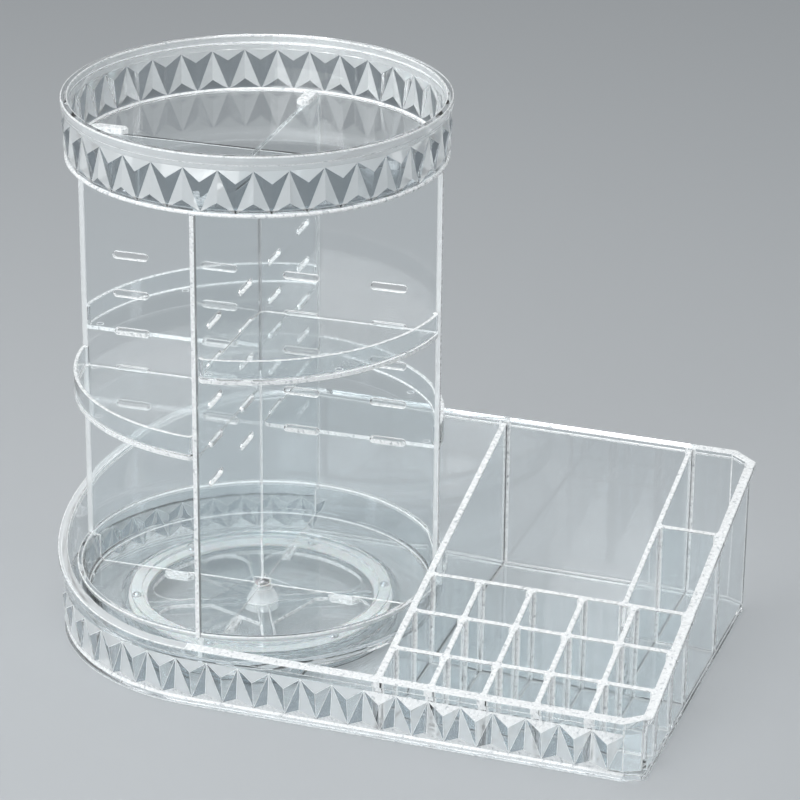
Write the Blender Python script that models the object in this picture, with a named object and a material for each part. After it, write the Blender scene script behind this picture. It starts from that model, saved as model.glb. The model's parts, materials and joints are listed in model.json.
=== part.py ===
"""Rotating makeup organizer in clear moulded plastic.

A base tray holds a turntable at its round end and a grid of bins at its square
end. A tower of two crossed panels, four quarter shelves and two round trays
turns on six steel balls. Metres, +Z up. The origin is under the middle of the
base tray. Shapes are drawn about the turntable's axis and then moved there.
"""
import math

import bmesh
import bpy
from mathutils import Vector

# Running gap between pieces that touch or turn, and how far a cutter overruns
CLEARANCE = 0.0003
OVERRUN = 0.0020

# Base tray: foot, floor and walls
FOOT_HEIGHT = 0.0020
FOOT_SPREAD = 0.0003
FOOT_WIDTH = 0.0035
FLOOR_RISE = 0.0025
FLOOR_THICKNESS = 0.0025
BASE_WALL = 0.0025
BASE_DRAFT = 0.0006
CORNER_CUT_X = 0.0115
CORNER_CUT_Y = 0.0065

# Base tray: rim, low in front and high at the back, with a shallow sag at the round end
RIM_FRONT_HEIGHT = 0.0384
RIM_BACK_HEIGHT = 0.1048
RIM_SAG = 0.0050
FLANGE_OVERHANG = 0.0032
FLANGE_THICKNESS = 0.0045

# Base tray: bins
TOWER_BAY_GAP = 0.00465
BAY_DIVIDER = 0.0039
DIVIDER = 0.0030
CELL_WIDTH = 0.02873
CELL_DEPTH = 0.0300
FRONT_CELL_DEPTH = 0.0236
CELL_DRAFT = 0.0004
CELL_COLUMNS = 5
CELL_ROWS = 3
SIDE_BIN_WIDTH = 0.0353
SIDE_BIN_SPLIT_SHARE = 0.485

# Cut-stone facets on the base tray and the top tray
FACET_FOOT = 0.0050
FACET_HEIGHT = 0.0246
FACET_LAND = 0.0014
FACET_RELIEF = 0.0022
FACET_INSET = 0.0009
FACET_UPPER_SHARE = 0.37
FACET_LOWER_SHARE = 0.22
BASE_FACETS = 32
TOP_FACETS = 36

# Turntable: ring plate with spokes, ball cage and steel balls
BALL_RADIUS = 0.0030
BALL_CIRCLE = 0.0770
BALL_COUNT = 6
BALL_TURN = math.radians(26.0)
CAGE_INNER_REACH = 0.0065
CAGE_OUTER_REACH = 0.0050
CAGE_THICKNESS = 0.0018
PLATE_RIM_GAP = 0.0025
PLATE_RIM_WALL = 0.0020
PLATE_RIM_RISE = 0.0055
TRACK_REACH = 0.0080
WEB_RISE = 0.0044
WEB_THICKNESS = 0.0025
GUIDE_WIDTH = 0.0014
GUIDE_HEIGHT = 0.0011
GUIDE_GAP = 0.0026
HUB_RADIUS = 0.0110
HUB_TOP_RADIUS = 0.0072
HUB_GAP = 0.0006
SPOKE_WIDTH = 0.0088
SPOKE_RIB = 0.0012
SPOKE_COUNT = 4
SPOKE_TURN = math.radians(26.8)
PETAL_CORNER = 0.0150
PETAL_HEEL = 0.0270
SNAP_COUNT = 8
SNAP_LENGTH = 0.0060
SNAP_REACH = 0.0010
SNAP_HEIGHT = 0.0015
LOCATING_WALL = 0.0016
LOCATING_HEIGHT = 0.0030

# Pivot screw and washer
SCREW_RADIUS = 0.0020
SCREW_DEPTH = 0.0130
SCREW_HEAD_RADIUS = 0.0050
SCREW_HEAD_HEIGHT = 0.0024
SCREW_RECESS = 0.0012
SCREW_RECESS_WIDTH = 0.0012
WASHER_RADIUS = 0.0062
WASHER_THICKNESS = 0.0008

# Turning tray at the foot of the tower
TOWER_TURN = math.radians(2.19)
TRAY_RIM_RADIUS = 0.1128
TRAY_RIM_HEIGHT = 0.0027
TRAY_RIM_PROUD = 0.0008
TRAY_WALL = 0.0032
TRAY_HEIGHT = 0.0233
TRAY_TAPER = 0.0030
TRAY_FLOOR = 0.0030
TRAY_FILLET = 0.0024
TRAY_GAP = 0.0060
RACE_DEPTH = 0.0022
RACE_WIDTH = 0.0070
NOTCH_DEPTH = 0.0030

# Crossed panels
PANEL_THICKNESS = 0.0030
PANEL_HEIGHT = 0.2821
PANEL_PROUD = 0.0010
SLOT_LENGTH = 0.0220
SLOT_HEIGHT = 0.0040
SLOT_INNER_RADIUS = 0.0270
SLOT_OUTER_INSET = 0.0323
SLOT_FIRST_LEVEL = 0.1322
SLOT_PITCH = 0.0248
SLOT_LEVELS = 5
FOOT_TAB_RADIUS = 0.0537
FOOT_TAB_LENGTH = 0.0120
FOOT_TAB_DEPTH = 0.0051
HEAD_TAB_INSET = 0.0208
HEAD_TAB_LENGTH = 0.0160
HEAD_TAB_HEIGHT = 0.0046

# Tab sockets, a long six-sided boss round each panel tab
SOCKET_ROOF = 0.0013
SOCKET_SIDE = 0.0022
SOCKET_END = 0.0007
SOCKET_POINT = 0.0030

# Quarter shelves; the curved side is flatter than a circle about the tower's axis
SHELF_INSET = 0.0028
SHELF_FLATNESS = 0.0095
SHELF_FLOOR = 0.0026
SHELF_LIP_HEIGHT = 0.0150
SHELF_LIP = 0.0022
SHELF_CORNER = 0.0035
SHELF_HEEL = 0.0040
SHELF_TAB_PLAY = 0.0017
SHELF_TAB_PROUD = 0.0010
SHELF_LEVEL_OF_QUARTER = (0, 2, 1, 3)

# Top tray
TOP_RIM_PROUD = 0.0012
TOP_RIM_HEIGHT = 0.0055
TOP_RIM_WIDTH = 0.0044
TOP_SKIRT_PROUD = 0.0016
TOP_SKIRT_HEIGHT = 0.0028
TOP_FLOOR = 0.0027
TOP_HEIGHT = 0.0369
TOP_FACET_HEIGHT = 0.0270
TOP_FACET_INSET = 0.0024
TOP_FACET_FOOT_INSET = 0.0028
TOP_FACET_UPPER_SHARE = 0.27
TOP_FACET_RELIEF = 0.0020
TOP_WALL_FILLET = 0.0030
TOP_WALL_DRAFT = 0.0012

# Side counts of round pieces, and how the mesh is shaded and joined
TRAY_SIDES = 60
PLATE_SIDES = 48
HUB_SIDES = 24
SMALL_SIDES = 16
ROUND_STEPS = 4
SHELF_ARC_STEPS = 18
BALL_STEPS = 2
SHARP_EDGE = math.radians(25.0)
SAME_STATION = 1e-9

# Heights worked out from the bottom up
floor_top = FLOOR_RISE + FLOOR_THICKNESS
plate_foot = floor_top + CLEARANCE
web_under = plate_foot + WEB_RISE
web_top = web_under + WEB_THICKNESS
ball_height = web_top + CLEARANCE + BALL_RADIUS
race_under = ball_height + BALL_RADIUS + CLEARANCE
tray_under = race_under + RACE_DEPTH
tray_floor_top = tray_under + TRAY_FLOOR
tray_top = tray_under + TRAY_HEIGHT
panel_foot = tray_floor_top + CLEARANCE
panel_step = tray_top - NOTCH_DEPTH + CLEARANCE
panel_head = panel_foot + PANEL_HEIGHT
top_under = panel_head + CLEARANCE
top_floor_top = top_under + TOP_FLOOR
top_rim_top = top_under + TOP_HEIGHT
washer_under = tray_floor_top + CLEARANCE
head_under = washer_under + WASHER_THICKNESS + CLEARANCE
head_top = head_under + SCREW_HEAD_HEIGHT

# Plan sizes worked out from the turntable's axis outwards
panel_radius = TRAY_RIM_RADIUS + PANEL_PROUD
top_rim_radius = panel_radius + TOP_RIM_PROUD
head_tab_radius = panel_radius - HEAD_TAB_INSET
slot_outer_radius = panel_radius - SLOT_OUTER_INSET
shelf_arc_radius = panel_radius - SHELF_INSET + SHELF_FLATNESS
shelf_arc_back = SHELF_FLATNESS / math.sqrt(2)
well_radius = TRAY_RIM_RADIUS + TRAY_GAP
wall_radius = well_radius + BASE_WALL
half_width = wall_radius + FLANGE_OVERHANG
bay_left = TRAY_RIM_RADIUS + TOWER_BAY_GAP + BAY_DIVIDER
bay_width = CELL_COLUMNS * CELL_WIDTH + (CELL_COLUMNS - 1) * DIVIDER
bay_right = bay_left + bay_width
wall_end = bay_right + BASE_WALL
base_end = wall_end + FLANGE_OVERHANG
axis_x = half_width - (half_width + base_end) / 2
plate_rim_inner = BALL_CIRCLE + CAGE_OUTER_REACH + PLATE_RIM_GAP
plate_radius = plate_rim_inner + PLATE_RIM_WALL
tray_inner_radius = TRAY_RIM_RADIUS - TRAY_TAPER - TRAY_WALL
rim_slope = (RIM_BACK_HEIGHT - RIM_FRONT_HEIGHT) / (half_width + half_width)


def clear_tools():
    """Remove every object that the opened file brings."""
    for item in list(bpy.data.objects):
        bpy.data.objects.remove(item, do_unlink=True)


def plastic(name, colour, roughness, clear):
    """Moulded plastic: clear is the share of light that passes through."""
    material = bpy.data.materials.new(name)
    material.use_nodes = True
    shader = material.node_tree.nodes["Principled BSDF"]
    shader.inputs["Base Color"].default_value = (*colour, 1.0)
    shader.inputs["Roughness"].default_value = roughness
    shader.inputs["Transmission Weight"].default_value = clear
    shader.inputs["IOR"].default_value = 1.49
    return material


def metal(name, colour, roughness):
    """Bare polished or plated metal."""
    material = bpy.data.materials.new(name)
    material.use_nodes = True
    shader = material.node_tree.nodes["Principled BSDF"]
    shader.inputs["Base Color"].default_value = (*colour, 1.0)
    shader.inputs["Roughness"].default_value = roughness
    shader.inputs["Metallic"].default_value = 1.0
    return material


def add_empty(name, parent, location, turn):
    """A guide that carries the pieces of one moving body."""
    guide = bpy.data.objects.new(name, None)
    bpy.context.collection.objects.link(guide)
    guide.parent = parent
    guide.location = location
    guide.rotation_euler = (0, 0, turn)
    return guide


def add_mesh(name, points, faces, parent, material):
    """A mesh object from points and outward faces."""
    mesh = bpy.data.meshes.new(name)
    mesh.from_pydata([tuple(point) for point in points], [], faces)
    mesh.validate()
    mesh.shade_smooth()
    mesh.set_sharp_from_angle(angle=SHARP_EDGE)
    piece = bpy.data.objects.new(name, mesh)
    bpy.context.collection.objects.link(piece)
    piece.parent = parent
    if material:
        mesh.materials.append(material)
    return piece


def hide_tool(tool):
    """Mark an object as a cutter, which is no piece of the product."""
    tool.hide_render = True
    tool.display_type = "WIRE"
    return tool


def combine(piece, tool, operation):
    """Cut a tool away from a piece, or add it to the piece."""
    hide_tool(tool)
    step = piece.modifiers.new(tool.name, "BOOLEAN")
    step.operation = operation
    step.solver = "EXACT"
    step.object = tool
    return piece


class Shell:
    """Points and faces gathered row by row, each row a closed loop of stations."""

    def __init__(self):
        self.points = []
        self.faces = []

    def row(self, stations, places):
        """Add a loop; a row is a list of (station, point number)."""
        first = len(self.points)
        self.points.extend(places)
        return [(station, first + number) for number, station in enumerate(stations)]

    def stitch(self, lower, upper):
        """Join two loops that run the same way, lower one first."""
        low = 0
        high = 0
        while low < len(lower) or high < len(upper):
            a = lower[low % len(lower)][1]
            b = upper[high % len(upper)][1]
            next_low = self.station_after(lower, low)
            next_high = self.station_after(upper, high)
            a_next = lower[(low + 1) % len(lower)][1]
            b_next = upper[(high + 1) % len(upper)][1]
            if abs(next_low - next_high) < SAME_STATION:
                self.faces.append((a, a_next, b_next, b))
                low += 1
                high += 1
            elif next_low < next_high:
                self.faces.append((a, a_next, b))
                low += 1
            else:
                self.faces.append((a, b_next, b))
                high += 1

    def station_after(self, row, place):
        """The station that follows a place, counted on past a full turn."""
        if place >= len(row):
            return math.inf
        if place + 1 == len(row):
            return row[0][0] + 1.0
        return row[place + 1][0]

    def cap(self, row, upwards):
        """Close a loop with one flat face."""
        loop = [number for station, number in row]
        self.faces.append(tuple(loop if upwards else reversed(loop)))

    def add(self, other):
        """Take in the points and faces of another shell."""
        first = len(self.points)
        self.points.extend(other.points)
        self.faces.extend(tuple(first + number for number in face) for face in other.faces)


def circle_row(shell, radius, height, sides, shift=0.0):
    """A level loop about the axis; shift is a share of one side."""
    stations = [(number + shift) / sides for number in range(sides)]
    places = []
    for station in stations:
        angle = math.tau * station
        places.append((radius * math.cos(angle), radius * math.sin(angle), height))
    return shell.row(stations, places)


def turned(profile, sides):
    """Turn a profile about the axis. It starts under the piece and ends on top."""
    shell = Shell()
    rows = [circle_row(shell, radius, height, sides) for radius, height in profile]
    for lower, upper in zip(rows, rows[1:]):
        shell.stitch(lower, upper)
    shell.cap(rows[0], False)
    shell.cap(rows[-1], True)
    return shell


def turned_ring(profile, sides):
    """Turn a closed profile that stays clear of the axis. It runs outwards below."""
    shell = Shell()
    rows = [circle_row(shell, radius, height, sides) for radius, height in profile]
    for lower, upper in zip(rows, rows[1:] + rows[:1]):
        shell.stitch(lower, upper)
    return shell


def prism(lower, upper, low, high):
    """A closed solid between two outlines with as many points, both anticlockwise."""
    shell = Shell()
    stations = [number / len(lower) for number in range(len(lower))]
    bottom = shell.row(stations, [(x, y, low) for x, y in lower])
    top = shell.row(stations, [(x, y, high) for x, y in upper])
    shell.stitch(bottom, top)
    shell.cap(bottom, False)
    shell.cap(top, True)
    return shell


def rectangle(left, front, right, back):
    """Corners of an upright rectangle, anticlockwise."""
    return [(left, front), (right, front), (right, back), (left, back)]


def arc(centre_x, centre_y, radius, start, end, steps):
    """Points on an arc, both ends included."""
    points = []
    for number in range(steps + 1):
        angle = start + (end - start) * number / steps
        points.append((centre_x + radius * math.cos(angle), centre_y + radius * math.sin(angle)))
    return points


def slot_outline(centre, length, height):
    """A round-ended slot in the panel's own plane, along its width."""
    radius = height / 2
    reach = length / 2 - radius
    right = arc(reach, 0, radius, -math.pi / 2, math.pi / 2, ROUND_STEPS)
    left = arc(-reach, 0, radius, math.pi / 2, 3 * math.pi / 2, ROUND_STEPS)
    return [(centre[0] + x, centre[1] + y) for x, y in right + left]


def turn_points(shell, angle):
    """Turn a shell's points about the axis."""
    cosine = math.cos(angle)
    sine = math.sin(angle)
    shell.points = [(x * cosine - y * sine, x * sine + y * cosine, z) for x, y, z in shell.points]
    return shell


def facet_band(shell, top_row, foot_row, upper_points, lower_points, closed):
    """Cut-stone pattern: each triangle between the rows is a low pyramid.

    Foot point k lies half a step past top point k. Upper point k stands over the
    triangle that points down there, and lower point k over the one that points up.
    """
    count = len(upper_points)
    for number in range(count):
        left = top_row[number][1]
        right = top_row[(number + 1) % len(top_row)][1]
        foot = foot_row[number][1]
        peak = upper_points[number]
        shell.faces.append((foot, right, peak))
        shell.faces.append((right, left, peak))
        shell.faces.append((left, foot, peak))
    for number in range(len(lower_points)):
        head = top_row[number if closed else number + 1][1]
        left = foot_row[(number - 1) if closed else number][1]
        right = foot_row[number if closed else number + 1][1]
        peak = lower_points[number]
        shell.faces.append((left, right, peak))
        shell.faces.append((right, head, peak))
        shell.faces.append((head, left, peak))


def rim_height(x, y):
    """Height of the base tray's rim: one slanted plane, sagging at the round end."""
    plane = RIM_FRONT_HEIGHT + rim_slope * (y + half_width)
    return plane - RIM_SAG * (min(x, 0) / wall_radius) ** 2


def base_path(share, offset):
    """A point of the base outline from the back tangent, round the end, to the front corner."""
    straight = wall_end - CORNER_CUT_X
    turn = math.pi * wall_radius
    distance = share * (turn + straight)
    if distance < turn:
        angle = math.pi / 2 + distance / wall_radius
        radius = wall_radius + offset
        return radius * math.cos(angle), radius * math.sin(angle)
    return distance - turn, -(wall_radius + offset)


def base_corners(offset):
    """The outline's last corners, from the front right one round to the back."""
    side = wall_radius - CORNER_CUT_Y
    end = wall_end + offset
    return [(end, -side), (end, side), (wall_end - CORNER_CUT_X, wall_radius + offset)]


def base_row(shell, shares, offset, corner_offset, height):
    """A loop of the base tray; height is a level or a function of the place."""
    plan = [base_path(share, offset) for share in shares] + base_corners(corner_offset)
    closing = [1.0 + (number + 1) for number in range(len(plan) - len(shares))]
    whole = 2.0 + (len(plan) - len(shares))
    stations = [station / whole for station in list(shares) + closing]
    if callable(height):
        places = [(x, y, height(x, y)) for x, y in plan]
    else:
        places = [(x, y, height) for x, y in plan]
    return shell.row(stations, places)


def base_outside():
    """The base tray's outer skin, closed over its top, before any hollow is cut."""
    shell = Shell()
    count = BASE_FACETS
    half_steps = [number / (2 * count) for number in range(2 * count + 1)]
    steps = [number / count for number in range(count + 1)]
    between = [(number + 0.5) / count for number in range(count)]
    facet_top = FACET_FOOT + FACET_HEIGHT

    foot = base_row(shell, half_steps, FOOT_SPREAD, FOOT_SPREAD, 0)
    ledge = base_row(shell, half_steps, FOOT_SPREAD, FOOT_SPREAD, FOOT_HEIGHT)
    foot_inset = -(FACET_INSET + FOOT_SPREAD)
    facet_foot = base_row(shell, [0.0] + between + [1.0], foot_inset, 0, FACET_FOOT)
    facet_head = base_row(shell, steps, -FACET_INSET, 0, facet_top)
    wall = base_row(shell, half_steps, 0, 0, facet_top + FACET_LAND)

    def under_flange(x, y):
        return rim_height(x, y) - FLANGE_THICKNESS

    flange_root = base_row(shell, half_steps, 0, 0, under_flange)
    flange_under = base_row(shell, half_steps, FLANGE_OVERHANG, FLANGE_OVERHANG, under_flange)
    flange_top = base_row(shell, half_steps, FLANGE_OVERHANG, FLANGE_OVERHANG, rim_height)
    inner_offset = -(BASE_WALL + OVERRUN)
    inside = base_row(shell, half_steps, inner_offset, inner_offset, rim_height)

    shell.stitch(foot, ledge)
    shell.stitch(ledge, facet_foot)
    add_base_facets(shell, facet_head, facet_foot, between, steps)
    shell.stitch(facet_head, wall)
    shell.stitch(wall, flange_root)
    shell.stitch(flange_root, flange_under)
    shell.stitch(flange_under, flange_top)
    shell.stitch(flange_top, inside)
    shell.cap(foot, False)
    add_base_top(shell, inside)
    return shell


def add_base_facets(shell, head, foot, between, steps):
    """Facets along the path, and plain walls where the outline turns back."""
    peak = FACET_RELIEF - FACET_INSET
    high = FACET_FOOT + FACET_HEIGHT * (1 - FACET_UPPER_SHARE)
    low = FACET_FOOT + FACET_HEIGHT * FACET_LOWER_SHARE
    upper = []
    for share in between:
        upper.append(len(shell.points))
        shell.points.append((*base_path(share, peak), high))
    lower = []
    for share in steps[1:-1]:
        lower.append(len(shell.points))
        shell.points.append((*base_path(share, peak), low))
    path_foot = foot[1:len(between) + 1]
    facet_band(shell, head[:len(steps)], path_foot, upper, lower, False)
    first = foot[0][1]
    last = foot[len(between) + 1][1]
    shell.faces.append((first, foot[1][1], head[0][1]))
    shell.faces.append((foot[len(between)][1], last, head[len(steps) - 1][1]))
    plain_head = head[len(steps) - 1:] + head[:1]
    plain_foot = foot[len(between) + 1:] + foot[:1]
    for number in range(len(plain_head) - 1):
        shell.faces.append((plain_foot[number][1], plain_foot[number + 1][1],
                            plain_head[number + 1][1], plain_head[number][1]))


def add_base_top(shell, inside):
    """Close the top with a flat face over the bins and one over the round end."""
    loop = [number for station, number in inside]
    first_flat = next(place for place, number in enumerate(loop)
                      if shell.points[number][0] > 0 and shell.points[number][1] < 0)
    shell.faces.append(tuple(loop[:first_flat + 1]))
    shell.faces.append(tuple(loop[first_flat:] + loop[:1]))


def tower_well():
    """The hollow at the round end, a half circle drawn out to the first divider."""
    shapes = []
    right = TRAY_RIM_RADIUS + TOWER_BAY_GAP
    for inset in (BASE_DRAFT, 0):
        outline = arc(0, 0, well_radius - inset, math.pi / 2, 3 * math.pi / 2, TRAY_SIDES // 2)
        outline += [(right - inset, -(well_radius - inset)), (right - inset, well_radius - inset)]
        shapes.append(outline)
    return prism(shapes[0], shapes[1], floor_top, RIM_BACK_HEIGHT + OVERRUN)


def bin_hollow(left, front, right, back):
    """One bin, a little narrower at its floor."""
    floor = rectangle(left + CELL_DRAFT, front + CELL_DRAFT, right - CELL_DRAFT, back - CELL_DRAFT)
    mouth = rectangle(left, front, right, back)
    return prism(floor, mouth, floor_top, RIM_BACK_HEIGHT + OVERRUN)


def corner_bin_hollow(left, front, right, back):
    """A bin at the base's cut corner: the wall keeps its thickness there."""
    shapes = []
    cut_x = CORNER_CUT_X - BASE_WALL / 2
    cut_y = CORNER_CUT_Y - BASE_WALL / 2
    for inset in (CELL_DRAFT, 0):
        x0, y0, x1, y1 = left + inset, front + inset, right - inset, back - inset
        if front < 0:
            shapes.append([(x0, y0), (x1 - cut_x, y0), (x1, y0 + cut_y), (x1, y1), (x0, y1)])
        else:
            shapes.append([(x0, y0), (x1, y0), (x1, y1 - cut_y), (x1 - cut_x, y1), (x0, y1)])
    return prism(shapes[0], shapes[1], floor_top, RIM_BACK_HEIGHT + OVERRUN)


def bin_rows():
    """Front and back of each row of small bins."""
    rows = []
    front = -well_radius
    for number in range(CELL_ROWS):
        depth = FRONT_CELL_DEPTH if number == 0 else CELL_DEPTH
        rows.append((front, front + depth))
        front += depth + DIVIDER
    return rows


def bin_hollows():
    """Every bin: the grid of small ones, the large bay and two side bins."""
    shell = Shell()
    rows = bin_rows()
    for number, (front, back) in enumerate(rows):
        for column in range(CELL_COLUMNS):
            left = bay_left + column * (CELL_WIDTH + DIVIDER)
            right = left + CELL_WIDTH
            at_corner = number == 0 and column == CELL_COLUMNS - 1
            shape = corner_bin_hollow if at_corner else bin_hollow
            shell.add(shape(left, front, right, back))
    bay_front = rows[-1][1] + DIVIDER
    side_left = bay_right - SIDE_BIN_WIDTH
    shell.add(bin_hollow(bay_left, bay_front, side_left - DIVIDER, well_radius))
    side_depth = well_radius - bay_front
    middle = bay_front + SIDE_BIN_SPLIT_SHARE * side_depth
    shell.add(bin_hollow(side_left, bay_front, bay_right, middle - DIVIDER / 2))
    shell.add(corner_bin_hollow(side_left, middle + DIVIDER / 2, bay_right, well_radius))
    return shell


def underside_recess():
    """The hollow under the floor that leaves a foot all round."""
    shell = Shell()
    steps = [number / BASE_FACETS for number in range(BASE_FACETS + 1)]
    inset = FOOT_SPREAD - FOOT_WIDTH
    low = base_row(shell, steps, inset, inset, -OVERRUN)
    high = base_row(shell, steps, inset, inset, FLOOR_RISE)
    shell.stitch(low, high)
    shell.cap(low, False)
    shell.cap(high, True)
    return shell


def make_base(parent, material):
    """Base tray: one moulding with foot, floor, bins, round end and flanged rim."""
    outside = base_outside()
    tray = add_mesh("base_tray", outside.points, outside.faces, parent, material)
    hollow = tower_well()
    hollow.add(bin_hollows())
    hollow.add(underside_recess())
    combine(tray, add_mesh("base_hollows", hollow.points, hollow.faces, parent, None), "DIFFERENCE")
    inner = plate_radius + CLEARANCE
    outer = inner + LOCATING_WALL
    sunk = floor_top - FLOOR_THICKNESS / 2
    ring = turned_ring([(inner, sunk), (outer, sunk), (outer, floor_top + LOCATING_HEIGHT),
                        (inner, floor_top + LOCATING_HEIGHT)], PLATE_SIDES)
    combine(tray, add_mesh("locating_ring", ring.points, ring.faces, parent, None), "UNION")
    return tray


def petal_outline():
    """One opening of the ring plate between two spokes, drawn about the +X direction."""
    outer = BALL_CIRCLE - TRACK_REACH
    half_turn = math.pi / SPOKE_COUNT
    spoke_side = SPOKE_WIDTH / 2
    corner = PETAL_CORNER
    across = corner + spoke_side
    reach = outer - corner
    lean = math.asin(across / reach)
    turn = half_turn - lean
    centre = (reach * math.cos(turn), reach * math.sin(turn))
    points = arc(*centre, corner, turn, half_turn + math.pi / 2, ROUND_STEPS)
    heel_side = PETAL_HEEL * math.tan(half_turn) - spoke_side / math.cos(half_turn)
    points.append((PETAL_HEEL, heel_side))
    mirrored = [(x, -y) for x, y in reversed(points)]
    middle = arc(0, 0, outer, -turn, turn, ROUND_STEPS + ROUND_STEPS)
    return mirrored[:-1] + middle + points[1:]


def make_plate(parent, material):
    """Turntable plate: hub, four spokes, ball track with guides and snap rim."""
    track_inner = BALL_CIRCLE - GUIDE_GAP
    track_outer = BALL_CIRCLE + GUIDE_GAP
    guide_top = web_top + GUIDE_HEIGHT
    rim_top = web_top + PLATE_RIM_RISE
    hub_top = tray_under - HUB_GAP
    profile = [
        (plate_rim_inner, web_under),
        (plate_rim_inner, plate_foot),
        (plate_radius, plate_foot),
        (plate_radius, rim_top),
        (plate_rim_inner, rim_top),
        (plate_rim_inner, web_top),
        (track_outer + GUIDE_WIDTH, web_top),
        (track_outer + GUIDE_WIDTH, guide_top),
        (track_outer, guide_top),
        (track_outer, web_top),
        (track_inner, web_top),
        (track_inner, guide_top),
        (track_inner - GUIDE_WIDTH, guide_top),
        (track_inner - GUIDE_WIDTH, web_top),
    ]
    body = turned(profile, PLATE_SIDES)
    plate = add_mesh("turntable_plate", body.points, body.faces, parent, material)

    petals = Shell()
    outline = petal_outline()
    for number in range(SPOKE_COUNT):
        opening = prism(outline, outline, web_under - OVERRUN, web_top + OVERRUN)
        turn = SPOKE_TURN + math.tau * (number + 0.5) / SPOKE_COUNT
        petals.add(turn_points(opening, turn))
    combine(plate, add_mesh("petals", petals.points, petals.faces, parent, None), "DIFFERENCE")

    hub = turned([(HUB_RADIUS, plate_foot), (HUB_RADIUS, web_top), (HUB_TOP_RADIUS, hub_top)],
                 HUB_SIDES)
    combine(plate, add_mesh("hub", hub.points, hub.faces, parent, None), "UNION")

    ribs = Shell()
    inside = HUB_RADIUS - SPOKE_RIB
    outside = BALL_CIRCLE - TRACK_REACH + SPOKE_RIB
    side = SPOKE_WIDTH / 2 - CLEARANCE
    sunk = web_under + WEB_THICKNESS / 2
    for number in range(SPOKE_COUNT):
        turn = SPOKE_TURN + math.tau * number / SPOKE_COUNT
        for low in (-side, side - SPOKE_RIB):
            outline = rectangle(inside, low, outside, low + SPOKE_RIB)
            ribs.add(turn_points(prism(outline, outline, plate_foot, sunk), turn))
    combine(plate, add_mesh("spoke_ribs", ribs.points, ribs.faces, parent, None), "UNION")

    snaps = Shell()
    snap_low = floor_top + LOCATING_HEIGHT + CLEARANCE
    flat = plate_radius * math.cos(math.pi / PLATE_SIDES)
    for number in range(SNAP_COUNT):
        outline = rectangle(flat - PLATE_RIM_WALL / 2, -SNAP_LENGTH / 2,
                            plate_radius + SNAP_REACH, SNAP_LENGTH / 2)
        tab = prism(outline, outline, snap_low, snap_low + SNAP_HEIGHT)
        snaps.add(turn_points(tab, SPOKE_TURN + math.tau * (number + 0.5) / SNAP_COUNT))
    combine(plate, add_mesh("snaps", snaps.points, snaps.faces, parent, None), "UNION")

    hole = screw_hole(tray_under + OVERRUN)
    combine(plate, add_mesh("hub_hole", hole.points, hole.faces, parent, None), "DIFFERENCE")
    return plate


def screw_foot():
    """Height of the pivot screw's lower end."""
    return head_under - SCREW_DEPTH


def screw_hole(top):
    """The pivot screw's hole, from just below the screw up to a given height."""
    radius = SCREW_RADIUS + CLEARANCE
    return turned([(radius, screw_foot() - CLEARANCE), (radius, top)], SMALL_SIDES)


def make_screw(parent, material):
    """Pivot screw: shank, domed head and cross recess."""
    crown = SCREW_HEAD_RADIUS / 2
    shape = turned([
        (SCREW_RADIUS, screw_foot()),
        (SCREW_RADIUS, head_under),
        (SCREW_HEAD_RADIUS, head_under),
        (SCREW_HEAD_RADIUS, head_under + SCREW_HEAD_HEIGHT / 3),
        (crown + crown / 2, head_top - SCREW_HEAD_HEIGHT / 4),
        (crown, head_top),
    ], SMALL_SIDES)
    screw = add_mesh("pivot_screw", shape.points, shape.faces, parent, material)
    arm = crown - SCREW_RECESS_WIDTH / 4
    half = SCREW_RECESS_WIDTH / 2
    for name, x, y in (("recess_a", arm, half), ("recess_b", half, arm)):
        outline = rectangle(-x, -y, x, y)
        cut = prism(outline, outline, head_top - SCREW_RECESS, head_top + OVERRUN)
        combine(screw, add_mesh(name, cut.points, cut.faces, parent, None), "DIFFERENCE")
    return screw


def make_washer(parent, material):
    """Washer under the screw's head, on which the tray turns."""
    inner = SCREW_RADIUS + CLEARANCE
    top = washer_under + WASHER_THICKNESS
    ring = turned_ring([(inner, washer_under), (WASHER_RADIUS, washer_under),
                        (WASHER_RADIUS, top), (inner, top)], HUB_SIDES)
    return add_mesh("pivot_washer", ring.points, ring.faces, parent, material)


def make_cage(parent, material):
    """Ball cage: a flat ring with a round pocket for each ball."""
    inner = BALL_CIRCLE - CAGE_INNER_REACH
    outer = BALL_CIRCLE + CAGE_OUTER_REACH
    low = ball_height - CAGE_THICKNESS / 2
    high = ball_height + CAGE_THICKNESS / 2
    ring = turned_ring([(inner, low), (outer, low), (outer, high), (inner, high)], PLATE_SIDES)
    cage = add_mesh("ball_cage", ring.points, ring.faces, parent, material)
    pockets = Shell()
    radius = BALL_RADIUS + CLEARANCE
    for number in range(BALL_COUNT):
        hole = turned([(radius, low - OVERRUN), (radius, high + OVERRUN)], SMALL_SIDES)
        hole.points = [(x + BALL_CIRCLE, y, z) for x, y, z in hole.points]
        pockets.add(turn_points(hole, BALL_TURN + math.tau * number / BALL_COUNT))
    combine(cage, add_mesh("pockets", pockets.points, pockets.faces, parent, None), "DIFFERENCE")
    return cage


def make_balls(parent, material):
    """Steel balls, each its own piece in its pocket."""
    for number in range(BALL_COUNT):
        angle = BALL_TURN + math.tau * number / BALL_COUNT
        shape = bmesh.new()
        bmesh.ops.create_icosphere(shape, subdivisions=BALL_STEPS, radius=BALL_RADIUS)
        mesh = bpy.data.meshes.new("ball")
        shape.to_mesh(mesh)
        shape.free()
        mesh.shade_smooth()
        mesh.materials.append(material)
        ball = bpy.data.objects.new("ball_%d" % (number + 1), mesh)
        bpy.context.collection.objects.link(ball)
        ball.parent = parent
        ball.location = (BALL_CIRCLE * math.cos(angle), BALL_CIRCLE * math.sin(angle), ball_height)


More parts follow.
